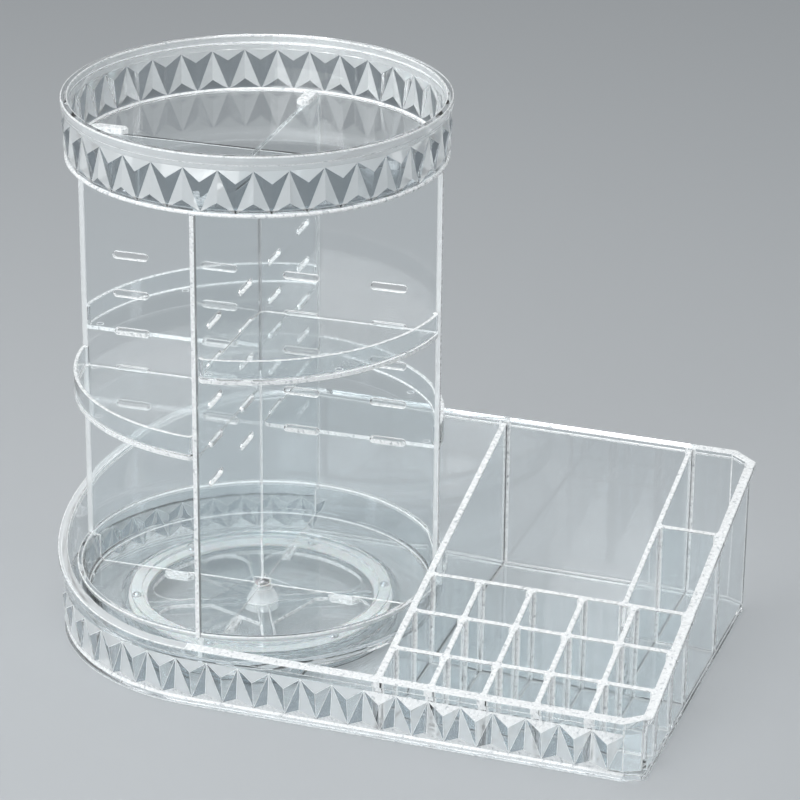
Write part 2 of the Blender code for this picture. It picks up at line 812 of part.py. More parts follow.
def socket_outline(tab_length):
    """Long six-sided boss round a tab: a point at each end and two straight sides."""
    shoulder = tab_length / 2 + CLEARANCE + SOCKET_END
    point = shoulder + SOCKET_POINT
    side = PANEL_THICKNESS / 2 + CLEARANCE + SOCKET_SIDE
    return [(point, 0), (shoulder, side), (-shoulder, side), (-point, 0),
            (-shoulder, -side), (shoulder, -side)]


def tab_hole(length):
    """Rectangle round a panel tab with its running gap."""
    reach = length / 2 + CLEARANCE
    side = PANEL_THICKNESS / 2 + CLEARANCE
    return rectangle(-reach, -side, reach, side)


def four_ways(make_one, radius):
    """Repeat a shell at the four panel arms, at a radius from the axis."""
    whole = Shell()
    for number in range(4):
        one = make_one()
        one.points = [(x + radius, y, z) for x, y, z in one.points]
        whole.add(turn_points(one, math.pi / 2 * number))
    return whole


def make_bottom_tray(parent, material):
    """Turning tray: floor, tapered wall, rim, ball race below and panel sockets."""
    race_inner = BALL_CIRCLE - RACE_WIDTH / 2
    race_outer = BALL_CIRCLE + RACE_WIDTH / 2
    foot_radius = TRAY_RIM_RADIUS - TRAY_TAPER
    wall_top = TRAY_RIM_RADIUS - TRAY_RIM_PROUD
    rim_under = tray_top - TRAY_RIM_HEIGHT
    floor_radius = foot_radius - TRAY_WALL
    profile = [
        (race_inner, tray_under),
        (race_inner, race_under),
        (race_outer, race_under),
        (race_outer, tray_under),
        (foot_radius - TRAY_RIM_PROUD, tray_under),
        (foot_radius, tray_under + TRAY_RIM_PROUD),
        (wall_top, rim_under),
        (TRAY_RIM_RADIUS, rim_under + TRAY_RIM_PROUD),
        (TRAY_RIM_RADIUS, tray_top),
        (TRAY_RIM_RADIUS - TRAY_WALL, tray_top),
        (floor_radius, tray_floor_top + TRAY_FILLET),
        (floor_radius - TRAY_FILLET, tray_floor_top),
    ]
    body = turned(profile, TRAY_SIDES)
    tray = add_mesh("bottom_tray", body.points, body.faces, parent, material)

    tab_end = panel_foot - FOOT_TAB_DEPTH
    boss = socket_outline(FOOT_TAB_LENGTH)
    bosses = four_ways(lambda: prism(boss, boss, tab_end - CLEARANCE - SOCKET_ROOF,
                                     tray_under + TRAY_FLOOR / 2), FOOT_TAB_RADIUS)
    combine(tray, add_mesh("foot_sockets", bosses.points, bosses.faces, parent, None), "UNION")

    hole = tab_hole(FOOT_TAB_LENGTH)
    cuts = four_ways(lambda: prism(hole, hole, tab_end - CLEARANCE, tray_floor_top + OVERRUN),
                     FOOT_TAB_RADIUS)
    side = PANEL_THICKNESS / 2 + CLEARANCE
    gate = rectangle(-(TRAY_WALL + OVERRUN), -side, OVERRUN, side)
    cuts.add(four_ways(lambda: prism(gate, gate, tray_top - NOTCH_DEPTH, tray_top + OVERRUN),
                       TRAY_RIM_RADIUS))
    cuts.add(screw_hole(tray_floor_top + OVERRUN))
    combine(tray, add_mesh("tray_cuts", cuts.points, cuts.faces, parent, None), "DIFFERENCE")
    return tray


def panel_outline():
    """Side view of a panel: stepped foot, foot tabs, screw notch and head tabs."""
    wall_reach = tray_inner_radius - CLEARANCE
    inner_reach = wall_reach - TRAY_FILLET
    foot_in = FOOT_TAB_RADIUS - FOOT_TAB_LENGTH / 2
    foot_out = FOOT_TAB_RADIUS + FOOT_TAB_LENGTH / 2
    foot_low = panel_foot - FOOT_TAB_DEPTH
    head_in = head_tab_radius - HEAD_TAB_LENGTH / 2
    head_out = head_tab_radius + HEAD_TAB_LENGTH / 2
    head_high = panel_head + HEAD_TAB_HEIGHT
    notch_side = WASHER_RADIUS + CLEARANCE
    notch_top = head_top + CLEARANCE
    right = [
        (notch_side, notch_top),
        (notch_side, panel_foot),
        (foot_in, panel_foot),
        (foot_in, foot_low),
        (foot_out, foot_low),
        (foot_out, panel_foot),
        (inner_reach, panel_foot),
        (wall_reach, panel_foot + TRAY_FILLET),
        (wall_reach, panel_step),
        (panel_radius, panel_step),
        (panel_radius, panel_head),
        (head_out, panel_head),
        (head_out, head_high),
        (head_in, head_high),
        (head_in, panel_head),
    ]
    left = [(-x, z) for x, z in reversed(right)]
    return right + left


def upright(outline, past):
    """Extrude a side view through the panel's thickness, and past both its faces."""
    side = PANEL_THICKNESS / 2 + past
    flat = prism(outline, outline, -side, side)
    flat.points = [(x, -y, z) for x, z, y in flat.points]
    return flat


def make_panel(name, turn, lap_from_top, parent, material):
    """A slotted panel, half-lapped into the other one at the axis."""
    body = turn_points(upright(panel_outline(), 0), turn)
    panel = add_mesh(name, body.points, body.faces, parent, material)
    cuts = Shell()
    for level in range(SLOT_LEVELS):
        height = SLOT_FIRST_LEVEL + level * SLOT_PITCH
        for radius in (SLOT_INNER_RADIUS, slot_outer_radius):
            for side in (-1, 1):
                outline = slot_outline((side * radius, height), SLOT_LENGTH, SLOT_HEIGHT)
                cuts.add(upright(outline, OVERRUN))
    half = PANEL_THICKNESS / 2 + CLEARANCE
    middle = (panel_foot + panel_head) / 2
    if lap_from_top:
        lap = rectangle(-half, middle - CLEARANCE, half, panel_head + OVERRUN)
    else:
        lap = rectangle(-half, panel_foot - OVERRUN, half, middle)
    cuts.add(upright(lap, OVERRUN))
    turn_points(cuts, turn)
    combine(panel, add_mesh(name + "_cuts", cuts.points, cuts.faces, parent, None), "DIFFERENCE")
    return panel


def shelf_outline():
    """Plan of a quarter shelf with two tabs on each straight side."""
    edge = PANEL_THICKNESS / 2 + CLEARANCE
    tab_end = -(PANEL_THICKNESS / 2 + SHELF_TAB_PROUD)
    half_tab = SLOT_LENGTH / 2 - SHELF_TAB_PLAY
    along = [(edge + SHELF_HEEL, edge)]
    for radius in (SLOT_INNER_RADIUS, slot_outer_radius):
        along += [(radius - half_tab, edge), (radius - half_tab, tab_end),
                  (radius + half_tab, tab_end), (radius + half_tab, edge)]
    back = [(y, x) for x, y in reversed(along)]
    heel = arc(edge + SHELF_HEEL, edge + SHELF_HEEL, SHELF_HEEL, math.pi, 3 * math.pi / 2, ROUND_STEPS)
    return along[1:] + rounded_rim(shelf_arc_radius, SHELF_CORNER, edge) + back[:-1] + heel


def rounded_rim(radius, corner, edge):
    """The arc of a quarter shelf with a rounded corner at each end of it."""
    reach = radius - corner
    across = edge + corner + shelf_arc_back
    lean = math.asin(across / reach)
    centre = (reach * math.cos(lean) - shelf_arc_back, across - shelf_arc_back)
    first = arc(*centre, corner, -math.pi / 2, lean, ROUND_STEPS)
    last = [(y, x) for x, y in reversed(first)]
    middle = arc(-shelf_arc_back, -shelf_arc_back, radius, lean, math.pi / 2 - lean, SHELF_ARC_STEPS)
    return first[:-1] + middle + last[1:]


def make_shelf(number, quarter, parent, material):
    """A quarter shelf: floor with tabs, and a lip round its curved side."""
    level = SHELF_LEVEL_OF_QUARTER[quarter]
    tab_low = SLOT_FIRST_LEVEL + level * SLOT_PITCH - SLOT_HEIGHT / 2 + CLEARANCE
    outline = shelf_outline()
    body = prism(outline, outline, tab_low, tab_low + SHELF_LIP_HEIGHT)
    edge = PANEL_THICKNESS / 2 + CLEARANCE
    past = -(PANEL_THICKNESS / 2 + SHELF_TAB_PROUD + OVERRUN)
    inner = rounded_rim(shelf_arc_radius - SHELF_LIP, SHELF_CORNER - SHELF_LIP, edge + SHELF_LIP)
    first, last = inner[0], inner[-1]
    room = [(past, past), (first[0], past)] + inner + [(past, last[1])]
    cut = prism(room, room, tab_low + SHELF_FLOOR, tab_low + SHELF_LIP_HEIGHT + OVERRUN)
    turn = math.pi / 2 * quarter
    turn_points(body, turn)
    turn_points(cut, turn)
    name = "shelf_%d" % number
    shelf = add_mesh(name, body.points, body.faces, parent, material)
    combine(shelf, add_mesh(name + "_room", cut.points, cut.faces, parent, None), "DIFFERENCE")
    return shelf


def make_top_tray(parent, material):
    """Top tray: floor, faceted skirt, rim and panel sockets on the floor."""
    count = TOP_FACETS
    sides = 2 * count
    skirt_radius = top_rim_radius - TOP_SKIRT_PROUD
    facet_head_radius = top_rim_radius - TOP_FACET_INSET
    facet_foot_radius = top_rim_radius - TOP_FACET_FOOT_INSET
    facet_foot_height = top_under + TOP_SKIRT_HEIGHT + FACET_LAND / 2
    facet_head_height = facet_foot_height + TOP_FACET_HEIGHT
    rim_under = top_rim_top - TOP_RIM_HEIGHT
    inner_radius = top_rim_radius - TOP_RIM_WIDTH
    foot_inner = inner_radius - TOP_WALL_DRAFT
    shell = Shell()
    under = circle_row(shell, skirt_radius, top_under, sides)
    skirt = circle_row(shell, skirt_radius, top_under + TOP_SKIRT_HEIGHT, sides)
    foot = circle_row(shell, facet_foot_radius, facet_foot_height, count, 0.5)
    head = circle_row(shell, facet_head_radius, facet_head_height, count)
    rows = [
        circle_row(shell, top_rim_radius, rim_under, sides),
        circle_row(shell, top_rim_radius, top_rim_top, sides),
        circle_row(shell, inner_radius, top_rim_top, sides),
        circle_row(shell, foot_inner, top_floor_top + TOP_WALL_FILLET, sides),
        circle_row(shell, foot_inner - TOP_WALL_FILLET, top_floor_top, sides),
    ]
    high = facet_head_height - TOP_FACET_HEIGHT * TOP_FACET_UPPER_SHARE
    low = facet_foot_height + TOP_FACET_HEIGHT * FACET_LOWER_SHARE
    upper = circle_row(shell, facet_head_radius + TOP_FACET_RELIEF, high, count, 0.5)
    lower = circle_row(shell, facet_foot_radius + TOP_FACET_RELIEF, low, count)
    shell.stitch(under, skirt)
    shell.stitch(skirt, foot)
    facet_band(shell, head, foot, [point for station, point in upper],
               [point for station, point in lower], True)
    shell.stitch(head, rows[0])
    for below, above in zip(rows, rows[1:]):
        shell.stitch(below, above)
    shell.cap(under, False)
    shell.cap(rows[-1], True)
    tray = add_mesh("top_tray", shell.points, shell.faces, parent, material)

    tab_top = panel_head + HEAD_TAB_HEIGHT
    boss = socket_outline(HEAD_TAB_LENGTH)
    bosses = four_ways(lambda: prism(boss, boss, top_under + TOP_FLOOR / 2,
                                     tab_top + CLEARANCE + SOCKET_ROOF), head_tab_radius)
    combine(tray, add_mesh("head_sockets", bosses.points, bosses.faces, parent, None), "UNION")
    hole = tab_hole(HEAD_TAB_LENGTH)
    cuts = four_ways(lambda: prism(hole, hole, top_under - OVERRUN, tab_top + CLEARANCE),
                     head_tab_radius)
    combine(tray, add_mesh("head_cuts", cuts.points, cuts.faces, parent, None), "DIFFERENCE")
    return tray


def main():
    """Make every piece under the guide of the body that it moves with."""
    clear_tools()
    clear = plastic("clear_polystyrene", (0.93, 0.96, 0.97), 0.03, 1.0)
    milky = plastic("milky_polypropylene", (0.86, 0.88, 0.88), 0.35, 0.25)
    steel = metal("bearing_steel", (0.78, 0.78, 0.80), 0.12)
    plated = metal("plated_steel", (0.72, 0.72, 0.73), 0.28)

    base = add_empty("base_guide", None, Vector((axis_x, 0, 0)), 0)
    cage = add_empty("cage_guide", base, Vector((0, 0, 0)), 0)
    tower = add_empty("tower_guide", base, Vector((0, 0, 0)), TOWER_TURN)

    make_base(base, clear)
    make_plate(base, clear)
    make_screw(base, plated)
    make_washer(base, milky)
    make_cage(cage, milky)
    make_balls(cage, steel)
    make_bottom_tray(tower, clear)
    make_panel("panel_a", 0, True, tower, clear)
    make_panel("panel_b", math.pi / 2, False, tower, clear)
    for number in range(4):
        make_shelf(number + 1, number, tower, clear)
    make_top_tray(tower, clear)


main()
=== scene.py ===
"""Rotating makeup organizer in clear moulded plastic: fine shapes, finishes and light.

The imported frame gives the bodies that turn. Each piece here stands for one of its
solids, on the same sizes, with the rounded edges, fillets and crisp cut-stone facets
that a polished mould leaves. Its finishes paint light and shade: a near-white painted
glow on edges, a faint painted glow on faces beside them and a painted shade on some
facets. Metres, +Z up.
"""
import json
import math
from types import SimpleNamespace

import bpy
import numpy as np
from bpy.props import FloatProperty, FloatVectorProperty, IntProperty, PointerProperty
from mathutils import Euler, Matrix


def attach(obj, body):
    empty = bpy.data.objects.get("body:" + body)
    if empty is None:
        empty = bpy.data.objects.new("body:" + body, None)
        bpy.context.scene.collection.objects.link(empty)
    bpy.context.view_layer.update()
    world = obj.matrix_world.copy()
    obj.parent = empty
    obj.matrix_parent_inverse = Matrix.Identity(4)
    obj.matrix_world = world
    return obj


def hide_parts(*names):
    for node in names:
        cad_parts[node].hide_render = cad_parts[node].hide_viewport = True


bl_info = {
    "name": "Rotating Makeup Organizer",
    "version": (1, 0, 0),
    "blender": (4, 5, 0),
    "location": "View3D > Sidebar > Organizer",
    "description": "Builds a clear organizer with a turning tower and a grid of bins",
    "category": "Add Mesh",
}

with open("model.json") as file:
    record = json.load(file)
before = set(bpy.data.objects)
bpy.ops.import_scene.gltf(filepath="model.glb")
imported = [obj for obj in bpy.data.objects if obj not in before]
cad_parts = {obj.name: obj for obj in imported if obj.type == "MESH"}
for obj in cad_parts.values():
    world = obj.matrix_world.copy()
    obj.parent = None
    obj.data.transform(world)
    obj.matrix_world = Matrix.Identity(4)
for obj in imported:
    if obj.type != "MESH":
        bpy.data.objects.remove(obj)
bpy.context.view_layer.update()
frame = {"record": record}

# Finishes by place in a piece's list: polished walls; a near-white painted glow on edges,
# for light piped to them; a faint painted glow on faces that only a little of it reaches;
# and a painted shade, a darker tint, on facets that turn the view into the plastic
CLEAR, EDGE, FAINT_PAINTED_GLOW, SHADE = range(4)

# How far a cutting tool reaches past what it cuts, and the play between two pieces
OVERRUN = 0.002
GAP = 0.0003

# A quarter of a turn, and how the tower, the spokes and the balls stand at rest
QUARTER = math.pi / 2
TOWER_TURN = math.radians(2.19)
SPOKE_TURN = math.radians(26.8)
BALL_TURN = math.radians(26.0)

# Edges that bend by more than this stay sharp in the shading
SHARP_ANGLE = math.radians(38)


def linear(code):
    """Turn an sRGB hex value into the linear colour that Blender works in."""
    parts = np.array([int(code[place:place + 2], 16) for place in (1, 3, 5)]) / 255
    straight = np.where(parts <= 0.04045, parts / 12.92, ((parts + 0.055) / 1.055) ** 2.4)
    return tuple(float(part) for part in straight)


def length(name, words, value):
    """A length that the sidebar shows in the scene's units."""
    return FloatProperty(name=name, description=words, default=value, min=0.0, unit="LENGTH",
                         precision=5)


def share(name, words, value):
    """A share of a whole, from 0 to 1."""
    return FloatProperty(name=name, description=words, default=value, min=0.0, max=1.0,
                         subtype="FACTOR")


def number(name, words, value, least):
    """A count of like parts."""
    return IntProperty(name=name, description=words, default=value, min=least)


def colour(name, words, code):
    """A colour whose default is an sRGB hex value."""
    return FloatVectorProperty(name=name, description=words, default=linear(code), size=3,
                               min=0.0, max=1.0, subtype="COLOR")


class BaseSizes(bpy.types.PropertyGroup):
    """Sizes of the base tray and its bins."""

    floor_top: length("Floor height", "Top of the bin floors above the table", 0.0050)
    wall: length("Wall", "Thickness of the outer wall", 0.0025)
    foot_height: length("Foot height", "Height of the thin ledge at the foot", 0.0020)
    rim_front: length("Front rim", "Height of the rim in front", 0.0384)
    rim_back: length("Back rim", "Height of the rim at the back", 0.1048)
    rim_sag: length("Rim sag", "How far the rim dips at the round end", 0.0050)
    flange: length("Flange", "How far the rim stands out", 0.0032)
    flange_thickness: length("Flange thickness", "Height of the rim's outer edge", 0.0045)
    divider: length("Divider", "Thickness of the walls between bins", 0.0030)
    first_divider: length("First divider", "Thickness of the wall beside the tower", 0.0039)
    cell_width: length("Bin width", "Clear width of a small bin", 0.02873)
    cell_depth: length("Bin depth", "Clear depth of a small bin", 0.0300)
    front_cell_depth: length("Front bin depth", "Clear depth of the front row", 0.0236)
    side_bin_width: length("Side bin width", "Clear width of the two side bins", 0.0353)
    edge_round: length("Edge rounding", "Radius on the top edges of the walls", 0.0005)
    floor_fillet: length("Floor fillet", "Radius where a wall meets its floor", 0.0008)
    corner_fillet: length("Corner fillet", "Radius of a bin's upright corners", 0.0018)
    facet_relief: length("Facet relief", "How far the facets stand out", 0.0022)
    # Facet crest: a narrow bevel given the near-white finish, a painted highlight, not wear
    crest: length("Facet crest", "Width of the worn line along the facets' edges", 0.0003)
    facet_foot: length("Facet foot", "Height of the band's lower points", 0.0050)
    facet_height: length("Facet height", "Height of the cut-stone band", 0.0246)
    upper_share: share("Upper points", "Depth of the upper points below the band's top", 0.27)
    lower_share: share("Lower points", "Height of the lower points above its foot", 0.22)
    facets: number("Facets", "Facets along the base", 33, 4)


class TurntableSizes(bpy.types.PropertyGroup):
    """Sizes of the turntable under the tower."""

    ball_radius: length("Ball radius", "Radius of a steel ball", 0.0030)
    ball_circle: length("Ball circle", "Radius of the circle that the balls run on", 0.0770)
    hub_radius: length("Hub radius", "Radius of the hub's foot", 0.0110)
    spoke_width: length("Spoke width", "Width of a spoke", 0.0088)
    spoke_rib: length("Spoke rib", "Thickness of the ribs under a spoke", 0.0012)
    balls: number("Balls", "Steel balls in the cage", 6, 3)


class TowerSizes(bpy.types.PropertyGroup):
    """Sizes of the turning tower."""

    tray_radius: length("Tray radius", "Outer radius of the lowest tray's rim", 0.1128)
    tray_height: length("Tray height", "Height of the lowest tray", 0.0233)
    panel_thickness: length("Panel thickness", "Thickness of the crossed panels", 0.0030)
    panel_edge: length("Panel edge rounding", "Radius on the panels' edges", 0.0003)
    slot_length: length("Slot length", "Length of a slot", 0.0220)
    slot_height: length("Slot height", "Height of a slot", 0.0040)
    slot_first: length("First slot", "Height of the lowest slots", 0.1322)
    slot_pitch: length("Slot pitch", "Distance between slots", 0.0248)
    shelf_floor: length("Shelf floor", "Thickness of a shelf's floor", 0.0026)
    shelf_lip: length("Shelf lip", "Thickness of a shelf's lip", 0.0022)
    shelf_lip_height: length("Shelf lip height", "Height of a shelf's lip", 0.0150)
    top_radius: length("Top tray radius", "Outer radius of the top tray's rim", 0.1150)
    top_height: length("Top tray height", "Height of the top tray", 0.0369)
    top_relief: length("Top facet relief", "How far the top tray's facets stand out", 0.0020)
    top_facet_height: length("Top facet height", "Height of the top tray's band", 0.0254)
    top_upper_share: share("Top upper points", "Their depth below the band's top", 0.275)
    top_lower_share: share("Top lower points", "Their height above the band's foot", 0.263)
    top_facets: number("Top facets", "Facets round the top tray", 35, 4)


class Looks(bpy.types.PropertyGroup):
    """Colours of the plastics, the steel and the stage."""

    clear: colour("Clear plastic", "Tint of the clear polystyrene", "#FAFDFE")
    # Painted light: the first edge colour is a near-white painted glow on the edges, the second its
    # dimmer painted blotches, and the facet tint below a painted shade
    edge: colour("Lit edge", "Colour that the clear plastic's edges glow in", "#F6F9FA")
    dimmer_painted_glow: colour("Dull edge", "Colour of the duller spots along the edges", "#CCD1D4")
    shade: colour("Shaded facet", "Tint of the facets that look into the plastic", "#A4ADB3")
    milky: colour("Milky plastic", "Colour of the ball cage and the washer", "#DCE0E0")
    plated: colour("Plated steel", "Colour of the pivot screw", "#D8D8DA")
    bearing: colour("Bearing steel", "Colour of the balls", "#E4E5E7")
    floor: colour("Floor", "Colour of the table", "#B9BDC0")


class Skin:
    """Points, faces and face finishes gathered part by part, then made one mesh."""

    def __init__(self):
        self.blocks = []
        self.faces = []
        self.count = 0

    def points(self, places):
        """Take in an array of places and give their numbers."""
        places = np.asarray(places, dtype=float).reshape(-1, 3)
        numbers = self.count + np.arange(len(places))
        self.blocks.append(places)
        self.count += len(places)
        return numbers

    def place(self, numbers):
        """Places of points that the skin already holds."""
        return np.concatenate(self.blocks)[numbers]

    def take(self, faces, finish=CLEAR, smooth=True):
        """Take in an array of faces with one finish, or one for each face."""
        faces = np.atleast_2d(faces)
        self.faces.append((faces, np.broadcast_to(finish, len(faces)), smooth))

    def band(self, low, high, finish=CLEAR, closed=True):
        """Quads between two rows of as many points, lower one first."""
        quads = np.stack([low, np.roll(low, -1), np.roll(high, -1), high], axis=1)
        count = len(quads) if closed else len(quads) - 1
        self.take(quads[:count], np.broadcast_to(finish, len(quads))[:count])

    def bands(self, rows, finishes):
        """Quads between each row and the next, from the lowest row up."""
        for low, high, finish in zip(rows, rows[1:], finishes):
            self.band(low, high, finish)

    def loft(self, grid, finishes=None, caps=(CLEAR, CLEAR), ring=False):
        """Skin a grid of rows, each a closed anticlockwise loop, from the lowest row up, and
        close it with a lower and an upper cap, or with the first row again."""
        rows = list(self.points(grid).reshape(grid.shape[:2]))
        finishes = [CLEAR] * len(rows) if finishes is None else finishes
        self.bands(rows + rows[:1] if ring else rows, finishes)
        if not ring:
            self.take(rows[0][::-1], caps[0])
            self.take(rows[-1], caps[1])

    def lofts(self, grids, finishes=None, caps=(CLEAR, CLEAR), ring=False):
        """Skin several grids with the same finishes."""
        for grid in grids:
            self.loft(grid, finishes, caps, ring)

    def fan(self, fine, coarse, fine_at, coarse_at, fine_low, finish=CLEAR):
        """Triangles between a fine and a coarse row that cover the same stretch."""
        middle = (coarse_at[:-1] + coarse_at[1:]) / 2
        turn = np.abs(fine_at[None, :] - middle[:, None]).argmin(axis=1)
        owner = np.searchsorted(turn, np.arange(len(fine) - 1), side="right")
        small = np.stack([fine[:-1], fine[1:], coarse[owner]], axis=1)
        large = np.stack([coarse[1:], coarse[:-1], fine[turn]], axis=1)
        if not fine_low:
            small, large = small[:, ::-1], large[:, ::-1]
        self.take(small, finish)
        self.take(large, finish)

    def mesh(self, name):
        """One mesh from all that was gathered."""
        mesh = bpy.data.meshes.new(name)
        lists = [face for faces, finish, smooth in self.faces for face in faces.tolist()]
        mesh.from_pydata(np.concatenate(self.blocks).tolist(), [], lists)
        finishes = np.concatenate([finish for faces, finish, smooth in self.faces])
        rounded = np.concatenate([np.full(len(faces), smooth)
                                  for faces, finish, smooth in self.faces])
        mesh.polygons.foreach_set("material_index", finishes.astype(np.int32))
        mesh.polygons.foreach_set("use_smooth", rounded.astype(bool))
        if not rounded.all():
            mark_crests(mesh, ~rounded)
        mesh.update()
        return mesh


def mark_crests(mesh, flat):
    """Mark for a bevel each edge that lies between two of the flat facets."""
    edge = np.empty(len(mesh.loops), dtype=np.int32)
    total = np.empty(len(mesh.polygons), dtype=np.int32)
    mesh.loops.foreach_get("edge_index", edge)
    mesh.polygons.foreach_get("loop_total", total)
    shared = np.bincount(edge[np.repeat(flat, total)], minlength=len(mesh.edges)) == 2
    weight = mesh.attributes.new("bevel_weight_edge", "FLOAT", "EDGE")
    weight.data.foreach_set("value", shared.astype(np.float32))


def soften(corners, radius, steps=3, closed=True):
    """Round a line's corners: each becomes a quadratic curve that leaves one side and
    meets the next a radius away from the corner, with the corner as its control point."""
    corners = np.asarray(corners, dtype=float)
    before, after = np.roll(corners, 1, axis=0), np.roll(corners, -1, axis=0)
    if not closed:
        before[0], after[-1] = corners[0], corners[-1]
    reach_in = np.linalg.norm(before - corners, axis=1)
    reach_out = np.linalg.norm(after - corners, axis=1)
    most = 0.45 * np.minimum(reach_in, reach_out)
    cut = np.minimum(np.broadcast_to(radius, reach_in.shape), most)
    start = corners + (before - corners) * (cut / np.maximum(reach_in, 1e-9))[:, None]
    end = corners + (after - corners) * (cut / np.maximum(reach_out, 1e-9))[:, None]
    along = np.linspace(0, 1, steps + 1)[None, :, None]
    curve = ((1 - along) ** 2 * start[:, None] + 2 * along * (1 - along) * corners[:, None]
             + along ** 2 * end[:, None])
    if closed:
        return curve.reshape(-1, 2)
    return np.concatenate([corners[:1], curve[1:-1].reshape(-1, 2), corners[-1:]])


def corner_normals(corners):
    """At each corner of an anticlockwise outline, the outward normals of the sides before
    and after it, and 1 + the cosine of the angle between them."""
    side = np.roll(corners, -1, axis=0) - corners
    after = np.stack([side[:, 1], -side[:, 0]], axis=1) / np.linalg.norm(side, axis=1)[:, None]
    before = np.roll(after, 1, axis=0)
    return before, after, 1 + (before * after).sum(axis=1)


def rounded_corners(corners, radius):
    """Arcs (centre x, centre y, radius, start angle, end angle) at the corners of a convex
    outline: each centre lies a radius inside both of the sides that meet there."""
    corners = np.asarray(corners, dtype=float)
    before, after, lean = corner_normals(corners)
    centre = corners - (before + after) * (radius / lean)[:, None]
    start = np.arctan2(before[:, 1], before[:, 0])
    end = start + np.mod(np.arctan2(after[:, 1], after[:, 0]) - start, math.tau)
    size = np.full(len(corners), radius)
    return np.stack([centre[:, 0], centre[:, 1], size, start, end], axis=1).tolist()


def outline(arcs, offset, steps):
    """Points round a chain of arcs: each is drawn at its radius plus the offset."""
    parts = []
    for (x, y, radius, start, end), count in zip(arcs, np.broadcast_to(steps, len(arcs))):
        angle = np.linspace(start, end, count + 1)
        reach = radius + offset
        parts.append(np.stack([x + reach * np.cos(angle), y + reach * np.sin(angle)], axis=1))
    return np.concatenate(parts)


def box_corners(left, front, right, back):
    """Corners of a rectangle, anticlockwise."""
    return [(left, front), (right, front), (right, back), (left, back)]


def lay(plan, height):
    """Give plan points a height, a number or one for each."""
    return np.column_stack([plan, np.broadcast_to(height, len(plan))])


def column(plan, *levels):
    """A grid with the same plan at each level."""
    return np.stack([lay(plan, level) for level in levels])


def flared(arcs, steps, levels, offsets):
    """A grid with the arcs' outline at each level, moved out there by an offset."""
    return np.stack([lay(outline(arcs, offset, steps), level)
                     for level, offset in zip(levels, offsets)])


def turned(profile, sides, shift=0.0):
    """Turn a profile of (radius, height) about the axis: row by row, each point's place is
    its radius times the cosine and sine of the angle, at its height."""
    profile = np.asarray(profile, dtype=float)
    angle = math.tau * (np.arange(sides) + shift) / sides
    radius, height = profile[:, :1], profile[:, 1:]
    return np.stack([radius * np.cos(angle), radius * np.sin(angle),
                     np.broadcast_to(height, (len(profile), sides))], axis=2)


def spin(grid, angle):
    """Turn a grid about the axis."""
    cosine, sine = math.cos(angle), math.sin(angle)
    x, y, z = grid[..., 0], grid[..., 1], grid[..., 2]
    return np.stack([x * cosine - y * sine, x * sine + y * cosine, z], axis=-1)


def spread(grids, count, first=0.0, shift=0.0, radius=0.0):
    """Grids in a circle: each is moved out by the radius and turned about the axis, step
    after step. A shift of a half starts between two steps."""
    return [spin(grid + [radius, 0, 0], first + math.tau * (step + shift) / count)
            for step in range(count) for grid in grids]


def plate(plan, levels, offsets):
    """A flat piece: at each level the plan, without points that repeat the one before, moves
    out by an offset, every side parallel to itself, so that a corner moves by the sum of
    its sides' normals over 1 + their cosine."""
    plan = np.asarray(plan, dtype=float)
    plan = plan[np.linalg.norm(plan - np.roll(plan, 1, axis=0), axis=1) > 1e-6]
    before, after, lean = corner_normals(plan)
    out = (before + after) / lean[:, None]
    return np.stack([lay(plan + out * offset, level) for level, offset in zip(levels, offsets)])


def rounded_levels(low, high, radius, steps=3):
    """Levels and offsets of a plate whose lower and upper edges are quarter rounds."""
    angle = np.linspace(0, QUARTER, steps + 1)
    levels = np.concatenate([low + radius * (1 - np.cos(angle)),
                             high - radius + radius * np.sin(angle)])
    offsets = np.concatenate([radius * (np.sin(angle) - 1), radius * (np.cos(angle) - 1)])
    return levels, offsets


def pivot():
    """Where the tower's axis stands, from the frame's own joint."""
    joints = frame["record"]["behaviour"]["joints"]
    return next(item for item in joints if item["name"] == "tower_spin")["pos_m"][0]


def placed(skin, name, turn=0.0, coats=("clear", "edge", "faint_painted_glow", "shade")):
    """A piece from a skin, turned about the tower's axis and moved there. The coats are its
    finishes; those of a clear moulding are clear, a near-white painted glow, a faint painted
    glow and a painted shade, in that order."""
    mesh = skin.mesh(name)
    places = np.empty(3 * len(mesh.vertices))
    mesh.vertices.foreach_get("co", places)
    moved = spin(places.reshape(-1, 3), turn) + [pivot(), 0, 0]
    mesh.vertices.foreach_set("co", moved.ravel())
    for coat in coats:
        mesh.materials.append(finish(coat))
    piece = bpy.data.objects.new(name, mesh)
    bpy.context.scene.collection.objects.link(piece)
    return piece


def lofted(name, grids, finishes=None, caps=(CLEAR, CLEAR), ring=False, **place):
    """A piece of one or more grids that are skinned with the same finishes."""
    skin = Skin()
    skin.lofts(grids, finishes, caps, ring)
    return placed(skin, name, **place)


def ring(name, section, radius, sides, **place):
    """A closed ring whose section has softened corners."""
    return lofted(name, [turned(soften(section, radius, 2), sides)], ring=True, **place)


def carve(piece, tools, crest=0.0, crest_finish=EDGE):
    """Bevel the marked crests, then cut tools away from the piece or join them to it, in
    order, and keep the result. A crest finish of -1 is that of the faces beside it."""
    if crest:
        lines = piece.modifiers.new("Crests", "BEVEL")
        lines.limit_method = "WEIGHT"
        lines.offset_type = "WIDTH"
        lines.width = crest
        lines.segments = 1
        # By default the crests take the near-white finish: a painted highlight along the facets' edges
        lines.material = crest_finish
    for tool, operation in tools:
        step = piece.modifiers.new(tool.name, "BOOLEAN")
        step.operation = operation
        step.solver = "EXACT"
        step.object = tool
    graph = bpy.context.evaluated_depsgraph_get()
    mesh = bpy.data.meshes.new_from_object(piece.evaluated_get(graph), depsgraph=graph)
    piece.modifiers.clear()
    piece.data = mesh
    for tool, operation in tools:
        bpy.data.objects.remove(tool, do_unlink=True)


